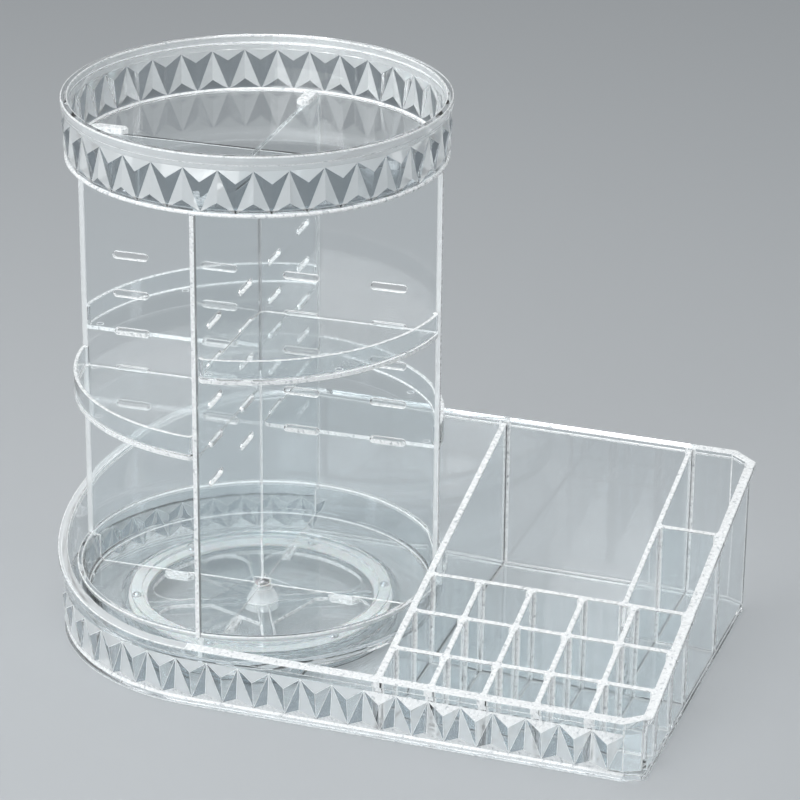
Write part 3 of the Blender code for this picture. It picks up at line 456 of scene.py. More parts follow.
def dress(piece, body, nodes):
    """Shade a finished piece, hang it on its body and let it stand for its CAD nodes."""
    piece.data.set_sharp_from_angle(angle=SHARP_ANGLE)
    even = piece.modifiers.new("Even normals", "WEIGHTED_NORMAL")
    even.keep_sharp = True
    even.weight = 100
    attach(piece, body)
    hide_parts(*nodes)


def add_node(tree, kind, links=None, **settings):
    """Add a node: settings are its own options, links its inputs by name or number."""
    made = tree.nodes.new(kind)
    for name, value in settings.items():
        setattr(made, name, value)
    for name, value in (links or {}).items():
        if isinstance(value, bpy.types.NodeSocket):
            tree.links.new(value, made.inputs[name])
        else:
            made.inputs[name].default_value = value
    return made


def new_material(name):
    """A node material, its tree, its output, and the place on the piece for its patterns."""
    material = bpy.data.materials.new(name)
    material.use_nodes = True
    tree = material.node_tree
    tree.nodes.clear()
    output = tree.nodes.new("ShaderNodeOutputMaterial")
    return material, tree, output, add_node(tree, "ShaderNodeTexCoord").outputs["Object"]


def let_lamps_through(tree, output, shader, part):
    """Lamps reach what is behind the plastic: each surface lets a part of their light by."""
    path = add_node(tree, "ShaderNodeLightPath")
    window = add_node(tree, "ShaderNodeBsdfTransparent", {"Color": (part, part, part, 1)})
    mix = add_node(tree, "ShaderNodeMixShader",
                   {0: path.outputs["Is Shadow Ray"], 1: shader, 2: window.outputs[0]})
    tree.links.new(mix.outputs[0], output.inputs["Surface"])


def polystyrene(name, tints, clear, smooth, rough, wave, grain):
    """Clear polystyrene: one tint, or two that mix in blotches about 2.3 mm across, the share
    of light that passes, the least and greatest roughness, which handling marks vary over
    2.4 mm, and the depth and scale of the surface's waves. A scale is 1 over a size in
    metres. Lamps pass by a part of 0.72, and by 0.21 more where all light passes."""
    material, tree, output, place = new_material(name)
    flow = add_node(tree, "ShaderNodeTexNoise", {"Vector": place, "Scale": grain, "Detail": 1.0})
    bump = add_node(tree, "ShaderNodeBump", {"Height": flow.outputs[0], "Strength": 1.0,
                                             "Distance": wave})
    marks = add_node(tree, "ShaderNodeTexNoise", {"Vector": place, "Scale": 420.0, "Detail": 3.0})
    haze = add_node(tree, "ShaderNodeMapRange", {"Value": marks.outputs[0], "From Min": 0.4,
                                                 "From Max": 0.7, "To Min": smooth, "To Max": rough})
    shader = add_node(tree, "ShaderNodeBsdfPrincipled", {
        "Base Color": (*tints[0], 1), "Roughness": haze.outputs[0], "Transmission Weight": clear,
        "IOR": 1.57, "Normal": bump.outputs[0]})
    if len(tints) > 1:
        spots = add_node(tree, "ShaderNodeTexNoise", {"Vector": place, "Scale": 430.0, "Detail": 2.0})
        blend = add_node(tree, "ShaderNodeValToRGB", {"Fac": spots.outputs[0]})
        for stop, spot, tint in zip(blend.color_ramp.elements, (0.33, 0.43), tints):
            stop.position = spot
            stop.color = (*tint, 1)
        tree.links.new(blend.outputs["Color"], shader.inputs["Base Color"])
    let_lamps_through(tree, output, shader.outputs[0], 0.72 + 0.21 * clear)
    return material


def clear_polystyrene(looks):
    """Crystal polystyrene from a polished mould: bright, hard reflections, very slightly
    uneven over 30 mm where the melt flowed and shrank, with a haze of handling marks."""
    return polystyrene("Crystal polystyrene, polished mould", [looks.clear], 1.0, 0.01, 0.05,
                       0.00005, 33.0)


def painted_glow_edge(looks):
    """The plastic's thin edges: on the real ones light piped along the walls leaves there, so
    they look white. Here that light is painted: a near-white, mostly diffuse finish, with
    dimmer painted blotches where it finds no way out. Fine parting and grinding marks,
    about 1.2 mm apart, blur them."""
    return polystyrene("Crystal polystyrene, painted glow edge", [looks.dimmer_painted_glow, looks.edge], 0.12,
                       0.2, 0.4, 0.00001, 800.0)


def faint_painted_glow_face(looks):
    """Faces beside the edges, where a part of the piped light leaks out: painted as a faint
    glow, a thin pale diffuse layer over clear plastic, uneven over 17 mm."""
    return polystyrene("Crystal polystyrene, faint painted glow", [looks.edge], 0.62, 0.04, 0.12,
                       0.00002, 60.0)


def shaded_facet(looks):
    """Facets at a slant to the view, given a darker grey tint: a painted shade for the view
    that they turn along the wall, through much more of the plastic than a straight look does."""
    return polystyrene("Crystal polystyrene, shaded facet", [looks.shade], 1.0, 0.01, 0.05,
                       0.00002, 60.0)


def milky_polypropylene(looks):
    """Natural polypropylene: milky, satin, soft to the eye, light spreads inside it. The
    mould leaves a grain of about 1.1 mm."""
    material, tree, output, place = new_material("Natural polypropylene, satin mould")
    grain = add_node(tree, "ShaderNodeTexNoise", {"Vector": place, "Scale": 900.0, "Detail": 2.0})
    bump = add_node(tree, "ShaderNodeBump", {"Height": grain.outputs[0], "Strength": 0.2,
                                             "Distance": 0.0002})
    shader = add_node(tree, "ShaderNodeBsdfPrincipled", {
        "Base Color": (*looks.milky, 1), "Roughness": 0.38, "Transmission Weight": 0.05,
        "IOR": 1.49, "Subsurface Weight": 0.25, "Subsurface Scale": 0.002,
        "Normal": bump.outputs[0]})
    let_lamps_through(tree, output, shader.outputs[0], 0.5)
    return material


def steel(name, tint, scale, smooth, rough):
    """Bare steel whose roughness varies between two values, in marks of one scale."""
    material, tree, output, place = new_material(name)
    marks = add_node(tree, "ShaderNodeTexNoise", {"Vector": place, "Scale": scale, "Detail": 2.0})
    wear = add_node(tree, "ShaderNodeMapRange", {"Value": marks.outputs[0], "To Min": smooth,
                                                 "To Max": rough})
    shader = add_node(tree, "ShaderNodeBsdfPrincipled", {
        "Base Color": (*tint, 1), "Metallic": 1.0, "Roughness": wear.outputs[0]})
    tree.links.new(shader.outputs[0], output.inputs["Surface"])
    return material


def plated_steel(looks):
    """Zinc-plated screw steel: a soft satin shine, in patches about 0.7 mm across."""
    return steel("Zinc-plated steel", looks.plated, 1500.0, 0.2, 0.42)


def bearing_steel(looks):
    """Polished ball: a mirror with the faintest run-in haze, in patches about 1.4 mm across."""
    return steel("Bearing steel, lapped", looks.bearing, 700.0, 0.05, 0.16)


def finish(name):
    """A finish by its short name, made on first use."""
    makers = {"clear": clear_polystyrene, "edge": painted_glow_edge, "faint_painted_glow": faint_painted_glow_face,
              "shade": shaded_facet, "milky": milky_polypropylene, "plated": plated_steel,
              "bearing": bearing_steel}
    if name not in finish.made:
        finish.made[name] = makers[name](bpy.context.scene.organizer_looks)
    return finish.made[name]


finish.made = {}


# How high the turntable's web stands and how thick it is, the depth of the race under the
# lowest tray, the thickness of that tray's floor and of the washer, the heights of the
# screw's head and of the panels, and how far the panels' tabs reach down and up
WEB_HEIGHT = 0.0044
WEB_THICKNESS = 0.0025
RACE_DEPTH = 0.0022
TRAY_FLOOR = 0.0030
WASHER = 0.0008
SCREW_HEAD = 0.0024
PANEL_HEIGHT = 0.2821
FOOT_TAB_DEPTH = 0.0051
HEAD_TAB_DEPTH = 0.0046

# Panel tabs: half their thickness, then for those at the foot and at the head how far the
# middle of a tab stands from the axis and how long it is
HALF_TAB = 0.0015
FOOT_TABS = (0.0537, 0.0120)
HEAD_TABS = (0.0930, 0.0160)


def heights(scene):
    """Levels from the base's floor up to the panels' top, with the play between two pieces."""
    ball_radius = scene.organizer_turntable.ball_radius
    foot = scene.organizer_base.floor_top + GAP
    web = foot + WEB_HEIGHT
    top = web + WEB_THICKNESS
    ball = top + GAP + ball_radius
    tray = ball + ball_radius + GAP + RACE_DEPTH
    floor = tray + TRAY_FLOOR
    panel = floor + GAP
    screw = panel + WASHER + GAP
    return SimpleNamespace(foot=foot, web=web, top=top, ball=ball, tray=tray, floor=floor,
                           panel=panel, panel_top=panel + PANEL_HEIGHT, screw=screw,
                           screw_top=screw + SCREW_HEAD)


# Base tray: how much the cut corners take along and across, how far the painted glow
# reaches beside a divider's end, where the side bins' divider stands, and how high the
# cutting tools reach
CORNER_ALONG = 0.0115
CORNER_ACROSS = 0.0065
DIVIDER_GLOW = 0.0016
SIDE_SHARE = 0.485
CUT_TOP = 0.1068


def base_plan(sizes, tower):
    """Plan sizes of the base, outwards from the tower's axis: its rows of small bins, and
    where dividers meet the end wall and the back wall."""
    well = tower.tray_radius + 0.0060
    wall = well + sizes.wall
    left = tower.tray_radius + 0.00465 + sizes.first_divider
    right = left + 5 * sizes.cell_width + 4 * sizes.divider
    front, rows, end_marks = -well, [], []
    for depth in (sizes.front_cell_depth, sizes.cell_depth, sizes.cell_depth):
        rows.append((front, front + depth))
        front += depth + sizes.divider
        end_marks.append(front - sizes.divider / 2)
    side = front + SIDE_SHARE * (well - front)
    back_marks = [right - sizes.side_bin_width - sizes.divider / 2, left - sizes.first_divider / 2]
    return SimpleNamespace(well=well, wall=wall, half=wall + sizes.flange, left=left, right=right,
                           end=right + sizes.wall, rows=rows, behind=front, side=side,
                           end_marks=end_marks + [side], back_marks=back_marks)


def rim_height(plan, sizes, x, y):
    """One slanted plane from the front rim to the back rim, less a sag at the round end
    that grows with the square of the distance from the axis."""
    slope = (sizes.rim_back - sizes.rim_front) / (2 * plan.half)
    sag = sizes.rim_sag * (np.minimum(x, 0) / plan.wall) ** 2
    return sizes.rim_front + slope * (y + plan.half) - sag


def base_line(plan, part, offset):
    """The outline from the back tangent round the end and along the front: an arc of half
    a turn at the wall's radius plus the offset, then a straight line."""
    straight = plan.end - CORNER_ALONG
    turn = math.pi * plan.wall
    distance = np.asarray(part) * (turn + straight)
    angle = QUARTER + np.minimum(distance, turn) / plan.wall
    radius = plan.wall + offset
    x = np.where(distance < turn, radius * np.cos(angle), distance - turn)
    y = np.where(distance < turn, radius * np.sin(angle), -radius)
    return np.stack([x, y], axis=1)


def base_loop(plan, part, offset, corner_offset):
    """The whole outline: the line above, then the cut corners of the square end, with two
    more points at each divider that meets the end wall or the back wall."""
    side = plan.wall - CORNER_ACROSS
    end, back = plan.end + corner_offset, plan.wall + corner_offset
    corners = [(end, -side)]
    for mark in plan.end_marks:
        corners += [(end, mark - DIVIDER_GLOW), (end, mark + DIVIDER_GLOW)]
    corners += [(end, side), (plan.end - CORNER_ALONG, back)]
    for mark in plan.back_marks:
        corners += [(mark + DIVIDER_GLOW, back), (mark - DIVIDER_GLOW, back)]
    return np.concatenate([base_line(plan, part, offset), corners])


def base_outside(plan, sizes):
    """The base's outer skin, closed over its top. The cut-stone band is a row of triangles
    between the points of two zigzag lines, each raised to a low three-sided pyramid."""
    skin = Skin()
    count = sizes.facets
    fine_at = np.linspace(0, 1, 16 * count + 1)
    head_at = np.arange(count + 1) / count
    between = (np.arange(count) + 0.5) / count
    foot_at = np.concatenate([[0.0], between, [1.0]])
    foot_level, band = sizes.facet_foot, sizes.facet_height
    head_level = foot_level + band
    foot_in, head_in = 0.0012, 0.0009

    def level_row(offset, height):
        """The whole outline at one height."""
        return skin.points(lay(base_loop(plan, fine_at, offset, offset), height))

    def rim_row(offset, drop):
        """The whole outline a little below the slanted rim."""
        edge = base_loop(plan, fine_at, min(offset, 0), min(offset, 0))
        return level_row(offset, rim_height(plan, sizes, edge[:, 0], edge[:, 1]) - drop)

    ledge, thick, over = sizes.foot_height, sizes.flange_thickness, sizes.flange
    foot = [level_row(offset, height) for offset, height in (
        (0.0, 0.0), (0.0003, 0.0003), (0.0003, 0.0009), (0.0003, ledge - 0.0003), (0.0, ledge),
        (-0.0005, ledge + 0.0014))]
    low = skin.points(lay(base_loop(plan, foot_at, -foot_in, 0), foot_level))
    head = skin.points(lay(base_loop(plan, head_at, -head_in, 0), head_level))
    peak = sizes.facet_relief - head_in
    upper = skin.points(lay(base_line(plan, between, peak), head_level - band * sizes.upper_share))
    lower = skin.points(lay(base_line(plan, head_at[1:-1], peak),
                            foot_level + band * sizes.lower_share))
    wall = level_row(0.0, head_level + 0.0014)
    rim = [rim_row(offset, drop) for offset, drop in (
        (0.0, thick + 0.0008), (0.0003, thick + 0.0002), (0.0010, thick), (over - 0.0004, thick),
        (over, thick - 0.0004), (over, 0.0006), (over - 0.0002, 0.0002), (over - 0.0007, 0.0))]
    inside = rim_row(-(sizes.wall + OVERRUN), 0.0)

    tail = len(wall) - len(fine_at)
    place = skin.place(wall)
    after = np.roll(place, -1, axis=0)
    # Painted glow: a narrow band beside each divider's end at the square end takes the near-white
    # finish
    ends = np.linalg.norm(after - place, axis=1) < 3 * DIVIDER_GLOW
    ends[:-tail] = False
    ends_only = np.where(np.append(ends[-tail - 1:], False), EDGE, CLEAR)

    def end_band(below, above):
        """Quads round the square end, where rows have the same few points."""
        skin.band(repeated(below)[-tail - 2:], repeated(above)[-tail - 2:], ends_only, closed=False)

    # The foot's two lowest rows and the fan over the ledge take the near-white painted glow
    skin.bands(foot, (EDGE, EDGE, CLEAR, CLEAR, CLEAR))
    skin.fan(foot[-1][:-tail], low[:-tail], fine_at, foot_at, True, EDGE)
    end_band(foot[-1], low)
    base_facets(skin, head[:-tail], low[:-tail], upper, lower, plan.left - sizes.first_divider)
    end_band(low, head)
    skin.fan(wall[:-tail], head[:-tail], fine_at, head_at, False)
    end_band(head, wall)
    # Painted glow: the front wall's columns before the dividers' ends, the square end's bands beside
    # them and several rows of the flanged rim take the near-white finish
    lit = ends | divider_columns(plan, sizes, place, after)
    finishes = (CLEAR, CLEAR, EDGE, CLEAR, EDGE, CLEAR, EDGE, EDGE)
    skin.bands([wall] + rim, [np.where(lit, EDGE, plain) for plain in finishes])
    # The rim's top takes the near-white painted glow along the front and the square end, and a faint
    # painted glow round the round end
    top = skin.place(rim[-1])
    bright = top[:, 0] > np.where(top[:, 1] < 0, 0.0, plan.right - 0.012)
    skin.band(rim[-1], inside, np.where(bright, EDGE, np.where(top[:, 0] < 0, FAINT_PAINTED_GLOW, CLEAR)))
    skin.take(foot[0][::-1])
    # The top between the hollows, over the dividers, takes the near-white painted glow
    inner = skin.place(inside)
    straight = int(np.argmax((inner[:, 0] > 0) & (inner[:, 1] < 0)))
    skin.take(inside[:straight + 1], EDGE)
    skin.take(repeated(inside)[straight:], EDGE)
    return skin


def repeated(row):
    """A row of points with its first one once more at the end."""
    return np.append(row, row[0])


def divider_columns(plan, sizes, place, after):
    """Which columns of the front wall stand before the end of one of the grid's dividers."""
    step = sizes.cell_width + sizes.divider
    middle = (place[:, 0] + after[:, 0]) / 2
    off = abs(np.mod(middle - plan.left + (sizes.divider + step) / 2, step) - step / 2)
    near = off < abs(after[:, 0] - place[:, 0]) / 2 + DIVIDER_GLOW
    grid = (middle > plan.left - 0.004) & (middle < plan.right - 0.01)
    return near & grid & (place[:, 1] < -plan.well)


def base_facets(skin, head, low, upper, lower, bins):
    """Flat triangles of the cut-stone band: three round each raised point. Their finishes paint
    light and shade facet by facet, in a set pattern of clear faces, a faint painted glow, the
    near-white painted glow and a painted shade. In front of the bins, whose walls send more
    light out, the upper ones get more painted glow."""
    foot = low[1:-1]
    left, right = head[:-1], head[1:]
    triples = [(foot, right, upper), (right, left, upper), (left, foot, upper),
               (foot[:-1], foot[1:], lower), (foot[1:], head[1:-1], lower),
               (head[1:-1], foot[:-1], lower)]
    plain = (CLEAR, FAINT_PAINTED_GLOW, SHADE, EDGE, FAINT_PAINTED_GLOW, SHADE)
    at_bins = (FAINT_PAINTED_GLOW, EDGE, SHADE, EDGE, FAINT_PAINTED_GLOW, SHADE)
    for triple, away, near in zip(triples, plain, at_bins):
        triangles = np.stack(triple, axis=1)
        middle = skin.place(triangles).mean(axis=1)
        beside = (middle[:, 0] > bins) & (middle[:, 1] < 0)
        skin.take(triangles, np.where(beside, near, away), smooth=False)
    skin.take([low[0], foot[0], head[0]], smooth=False)
    skin.take([foot[-1], low[-1], head[-1]], smooth=False)


def hollow(skin, plan, sizes, arcs, steps=4, draft=0.0004):
    """One hollow of the base, from its floor up past the rim. Its outline is offset row by
    row: a quarter round at the floor, a wall that leans out by the draft, and a small
    quarter round at the slanted rim."""
    floor, fillet, mouth = sizes.floor_top, sizes.floor_fillet, sizes.edge_round
    bend = np.linspace(0, QUARTER, 4)
    rows = list(flared(arcs, steps, floor + fillet * (1 - np.cos(bend)),
                       -draft - fillet * (1 - np.sin(bend))))
    # Painted glow: the small upright corner roundings take the near-white finish
    columns = []
    for arc, count in zip(arcs, np.broadcast_to(steps, len(arcs))):
        columns += [EDGE if arc[2] < 0.01 else CLEAR] * int(count) + [CLEAR]
    plain = outline(arcs, 0.0, steps)
    side = np.roll(plain, -1, axis=0) - plain
    # The mouth's rounding takes the near-white painted glow, except on sides that run parallel to the
    # front inside the grid, behind the front wall
    across = (abs(side[:, 0]) > 4 * abs(side[:, 1])) & (plain[:, 1] > 0.001 - plan.well)
    lip = np.where(across & (plain[:, 0] > plan.left - 0.0005), CLEAR, EDGE)
    rim = rim_height(plan, sizes, plain[:, 0], plain[:, 1])
    lean = -draft * (1 - (rim - floor) / (CUT_TOP - floor))
    outward = outline(arcs, 0.001, steps) - plain
    outward /= np.linalg.norm(outward, axis=1)[:, None]
    for angle in bend:
        wide = plain + outward * (lean + mouth * (1 - math.cos(angle)))[:, None]
        rows.append(lay(wide, rim - mouth * (1 - math.sin(angle))))
    rows.append(lay(wide, CUT_TOP))
    # The floor fillet takes a faint painted glow
    skin.loft(np.stack(rows), [FAINT_PAINTED_GLOW, FAINT_PAINTED_GLOW, FAINT_PAINTED_GLOW, columns, lip, lip, lip, EDGE])


def base_hollows(plan, sizes):
    """The round end, the grid of small bins, the large bin and the two side bins."""
    skin = Skin()
    well, left, right = plan.well, plan.left, plan.right
    wide = left - sizes.first_divider
    corners = rounded_corners(box_corners(-wide, -well, wide, well), sizes.corner_fillet)
    arcs = [corners[1], corners[2], (0, 0, well, QUARTER, 3 * QUARTER)]
    hollow(skin, plan, sizes, arcs, [4, 4, 96], 0.0006)
    shapes = []
    for front, back in plan.rows:
        for place in range(5):
            x = left + place * (sizes.cell_width + sizes.divider)
            shapes.append(box_corners(x, front, x + sizes.cell_width, back))
    cut_x, cut_y = CORNER_ALONG - sizes.wall / 2, CORNER_ACROSS - sizes.wall / 2
    shapes[4][1:2] = [(right - cut_x, -well), (right, cut_y - well)]
    side, half = right - sizes.side_bin_width, sizes.divider / 2
    shapes.append(box_corners(left, plan.behind, side - sizes.divider, well))
    shapes.append(box_corners(side, plan.behind, right, plan.side - half))
    shapes.append(box_corners(side, plan.side + half, right, well))
    shapes[-1][2:3] = [(right, well - cut_y), (right - cut_x, well)]
    for shape in shapes:
        hollow(skin, plan, sizes, rounded_corners(shape, sizes.corner_fillet))
    return skin


def base_recess(plan):
    """The shallow hollow under the floor that leaves a foot all round."""
    part = np.arange(129) / 128
    return np.stack([lay(base_loop(plan, part, -inset, -inset), level) for inset, level in (
        (0.0032, -OVERRUN), (0.0032, 0.0017), (0.0035, 0.0023), (0.0042, 0.0025))])


class ORGANIZER_OT_base_tray(bpy.types.Operator):
    """Base tray: foot, floor, bins, round end, cut-stone band and flanged rim"""

    bl_idname = "organizer.base_tray"
    bl_label = "Base Tray"

    def execute(self, context):
        sizes = context.scene.organizer_base
        plan = base_plan(sizes, context.scene.organizer_tower)
        tray = placed(base_outside(plan, sizes), "base_tray_clear")
        cuts = placed(base_hollows(plan, sizes), "base_cuts")
        recess = lofted("base_recess", [base_recess(plan)])
        guide = ring("base_stop", box_corners(0.0868, 0.0038, 0.0884, 0.0080), 0.0003, 144)
        carve(tray, [(cuts, "DIFFERENCE"), (recess, "DIFFERENCE"), (guide, "UNION")], sizes.crest)
        dress(tray, "base", ["base_tray"])
        return {"FINISHED"}


def petal_arcs(table):
    """One opening between two spokes: a large arc outside, two round corners and a heel."""
    outer = table.ball_circle - 0.0080
    corner, half_turn, heel_x, heel = 0.0150, math.pi / 4, 0.0270, 0.0012
    reach = outer - corner
    turn = half_turn - math.asin((corner + table.spoke_width / 2) / reach)
    x, y = reach * math.cos(turn), reach * math.sin(turn)
    heel_y = heel_x * math.tan(half_turn) - table.spoke_width / 2 / math.cos(half_turn) - 0.0005
    up, down = half_turn + QUARTER, 3 * QUARTER - half_turn
    return [(0, 0, outer, -turn, turn), (x, y, corner, turn, up),
            (heel_x + heel, heel_y, heel, up, math.pi), (heel_x + heel, -heel_y, heel, math.pi, down),
            (x, -y, corner, down, math.tau - turn)]


def axle_hole(top):
    """The pivot screw's hole, up to a level."""
    return turned([(0.0023, 0.0120), (0.0023, top)], 32)


class ORGANIZER_OT_turntable(bpy.types.Operator):
    """Turntable plate, ball cage, steel balls, pivot screw and washer"""

    bl_idname = "organizer.turntable"
    bl_label = "Turntable"

    def execute(self, context):
        table = context.scene.organizer_turntable
        level = heights(context.scene)
        self.plate(table, level)
        self.cage(table, level)
        self.screw(level)
        return {"FINISHED"}

    def plate(self, table, level):
        """Ring plate with a ball track, spokes with ribs, a hub and snap tabs."""
        circle, foot, web, top = table.ball_circle, level.foot, level.web, level.top
        inner, outer = circle + 0.0075, circle + 0.0095
        near, far, fence, fence_top = circle - 0.0026, circle + 0.0026, 0.0014, top + 0.0011
        profile = [(inner, web), (inner, foot), (outer, foot), (outer, top + 0.0055),
                   (inner, top + 0.0055), (inner, top), (far + fence, top), (far + fence, fence_top),
                   (far, fence_top), (far, top), (near, top), (near, fence_top),
                   (near - fence, fence_top), (near - fence, top)]
        curve = soften(profile, 0.0003, 2, closed=False)
        piece = lofted("turntable_plate_clear", [turned(curve, 144)])
        flare = 0.0003
        petal = flared(petal_arcs(table), [24, 12, 3, 3, 12],
                       (web - OVERRUN, web, web + flare, top - flare, top, top + OVERRUN),
                       (flare, flare, 0.0, 0.0, flare, flare))
        # Painted glow: the petals' cut walls, the ribs' lower ends and the snap tabs take the
        # near-white finish
        petals = lofted("petal_cuts", spread([petal], 4, SPOKE_TURN, 0.5), [EDGE] * 5)
        hub_top = level.tray - 0.0006
        profile = [(table.hub_radius, foot), (table.hub_radius, top), (0.0072, hub_top)]
        curve = soften(profile, 0.0006, 3, closed=False)
        # The hub's long sides take a faint painted glow, its rounds and caps the near-white one
        steep = np.where(abs(np.diff(curve[:, 1])) > 0.002, FAINT_PAINTED_GLOW, EDGE)
        hub = lofted("hub", [turned(curve, 64)], steep, (EDGE, EDGE))
        side, start, end = table.spoke_width / 2 - GAP, table.hub_radius - 0.0012, circle - 0.0068
        strips = [column(box_corners(start, low, end, low + table.spoke_rib), foot, web + 0.00125)
                  for low in (-side, side - table.spoke_rib)]
        ribs = lofted("ribs", spread(strips, 4, SPOKE_TURN), caps=(EDGE, CLEAR))
        tab = rounded_corners(box_corners(outer - 0.0010, -0.0030, outer + 0.0010, 0.0030), 0.0004)
        tab = column(outline(tab, 0.0, 3), 0.0083, 0.0098)
        snaps = lofted("snaps", spread([tab], 8, SPOKE_TURN, 0.5), [EDGE])
        hole = lofted("hub_hole", [axle_hole(hub_top + OVERRUN)])
        carve(piece, [(petals, "DIFFERENCE"), (hub, "UNION"), (ribs, "UNION"), (snaps, "UNION"),
                      (hole, "DIFFERENCE")])
        dress(piece, "base", ["turntable_plate"])

    def cage(self, table, level):
        """A milky ring with a round pocket for each ball, and the balls in them."""
        circle, high, size, half = table.ball_circle, level.ball, table.ball_radius, 0.0009
        section = box_corners(circle - 0.0065, high - half, circle + 0.0050, high + half)
        piece = ring("ball_cage_milky", section, 0.0004, 144, coats=["milky"])
        pocket = turned([(size + GAP, high - OVERRUN), (size + GAP, high + OVERRUN)], 40)
        pockets = spread([pocket], table.balls, BALL_TURN, radius=circle)
        pockets = lofted("cage_pockets", pockets, coats=["milky"])
        carve(piece, [(pockets, "DIFFERENCE")])
        dress(piece, "cage", ["ball_cage"])
        tilt = np.linspace(-QUARTER, QUARTER, 18)[1:-1]
        ball = turned(np.stack([size * np.cos(tilt), high + size * np.sin(tilt)], axis=1), 28)
        balls = lofted("steel_balls", spread([ball], table.balls, BALL_TURN, radius=circle),
                       coats=["bearing"])
        names = ["ball_%d" % (place + 1) for place in range(table.balls)]
        dress(balls, "cage", names)

    def screw(self, level):
        """Domed screw with a cross recess, on a flat washer."""
        under, top, low = level.screw, level.screw_top, level.panel
        shank, head = 0.0020, 0.0050
        profile = [(shank, under - 0.0130), (shank, under), (head, under), (head, under + 0.0008),
                   (0.00375, top - 0.0006), (0.0018, top)]
        curve = soften(profile, 0.0006, 3, closed=False)
        piece = lofted("pivot_screw_plated", [turned(curve, 48)], coats=["plated"])
        arm, side = 0.0021, 0.0006
        corner = lay([(side, -side), (arm, -side), (arm, side)], 0)
        cross = np.concatenate(spread([corner], 4))[:, :2]
        recess = np.stack([lay(cross * 0.55, top - 0.0013), lay(cross, top - 0.0003),
                           lay(cross, top + OVERRUN)])
        recess = lofted("cross_recess", [recess], turn=TOWER_TURN, coats=["plated"])
        carve(piece, [(recess, "DIFFERENCE")])
        dress(piece, "base", ["pivot_screw"])
        section = box_corners(0.0023, low, 0.0062, low + WASHER)
        washer = ring("pivot_washer_milky", section, 0.0002, 48, coats=["milky"])
        dress(washer, "base", ["pivot_washer"])


def sockets(tabs, low, high, downward):
    """Four long six-sided bosses round the panels' tabs, softened at their free ends."""
    radius, tab_length = tabs
    reach, side = tab_length / 2 + GAP + 0.0007, HALF_TAB + GAP + 0.0022
    point = reach + 0.0030
    corners = [(point, 0), (reach, side), (-reach, side), (-point, 0), (-reach, -side),
               (reach, -side)]
    levels = np.array([low, high - 0.0006, high - 0.0002, high])
    offsets = np.array([0.0, 0.0, -0.0003, -0.0008])
    if downward:
        levels, offsets = (low + high) - levels[::-1], offsets[::-1]
    boss = flared(rounded_corners(corners, 0.0008), 3, levels, offsets)
    return spread([boss], 4, radius=radius)


def tab_holes(tabs, low, high):
    """Four rectangular holes for the panels' tabs."""
    radius, tab_length = tabs
    reach, side = tab_length / 2 + GAP, HALF_TAB + GAP
    return spread([column(box_corners(-reach, -side, reach, side), low, high)], 4, radius=radius)


class ORGANIZER_OT_bottom_tray(bpy.types.Operator):
    """Lowest tray of the tower, with its ball race, panel sockets and rim notches"""

    bl_idname = "organizer.bottom_tray"
    bl_label = "Bottom Tray"

    def execute(self, context):
        sizes = context.scene.organizer_tower
        circle = context.scene.organizer_turntable.ball_circle
        level = heights(context.scene)
        under, floor, top = level.tray, level.floor, level.tray + sizes.tray_height
        race, half_race = under - RACE_DEPTH, 0.0035
        radius, foot = sizes.tray_radius, sizes.tray_radius - 0.0030
        profile = [(circle - half_race, under), (circle - half_race, race),
                   (circle + half_race, race), (circle + half_race, under), (foot - 0.0008, under),
                   (foot, under + 0.0008), (radius - 0.0008, top - 0.0027), (radius, top - 0.0019),
                   (radius, top), (radius - 0.0032, top), (foot - 0.0032, floor + 0.0024),
                   (foot - 0.0056, floor)]
        cut = [0.0003, 0.0003, 0.0003, 0.0003, 0.0006, 0.0008, 0.0006, 0.0006, 0.0007, 0.0007,
               0.0012, 0.0014]
        curve = soften(profile, cut, 3, closed=False)
        middle = (curve[1:] + curve[:-1]) / 2
        away = np.linalg.norm(middle[:, None] - np.array(profile)[None], axis=2)
        nearest = np.where(away.min(axis=1) < 0.0010, away.argmin(axis=1), -1)
        # Painted light: rows near the foot's inner corner and the rim's top corners take the
        # near-white painted glow; rows at the race, the outer wall's upper bend and the floor's edge a
        # faint one
        lit, faint_painted_glow_mask = np.isin(nearest, (4, 8, 9)), np.isin(nearest, (0, 1, 2, 3, 6, 7, 11))
        tray = lofted("bottom_tray_clear", [turned(curve, 180)],
                      np.where(lit, EDGE, np.where(faint_painted_glow_mask, FAINT_PAINTED_GLOW, CLEAR)), turn=TOWER_TURN)
        tab_end = level.panel - FOOT_TAB_DEPTH - GAP
        # The bosses and the walls of the tab holes and rim notches take the near-white painted glow
        bosses = sockets(FOOT_TABS, tab_end - 0.0013, under + 0.0015, True)
        bosses = lofted("foot_bosses", bosses, [EDGE] * 3, (EDGE, EDGE), turn=TOWER_TURN)
        side = HALF_TAB + GAP
        gate = column(box_corners(-0.0052, -side, OVERRUN, side), top - 0.0030, top + OVERRUN)
        skin = Skin()
        skin.lofts(tab_holes(FOOT_TABS, tab_end, floor + OVERRUN), [EDGE], (EDGE, EDGE))
        skin.lofts(spread([gate], 4, radius=radius), [EDGE], (EDGE, EDGE))
        skin.loft(axle_hole(floor + OVERRUN))
        cuts = placed(skin, "tray_cuts", TOWER_TURN)
        carve(tray, [(bosses, "UNION"), (cuts, "DIFFERENCE")])
        dress(tray, "tower", ["bottom_tray"])
        return {"FINISHED"}


# How far the middles of the panels' slots stand from the axis
SLOT_PLACES = (0.0270, 0.0815)


def panel_reach(sizes):
    """How far a panel's upright edge stands from the axis."""
    return sizes.tray_radius + 0.0010


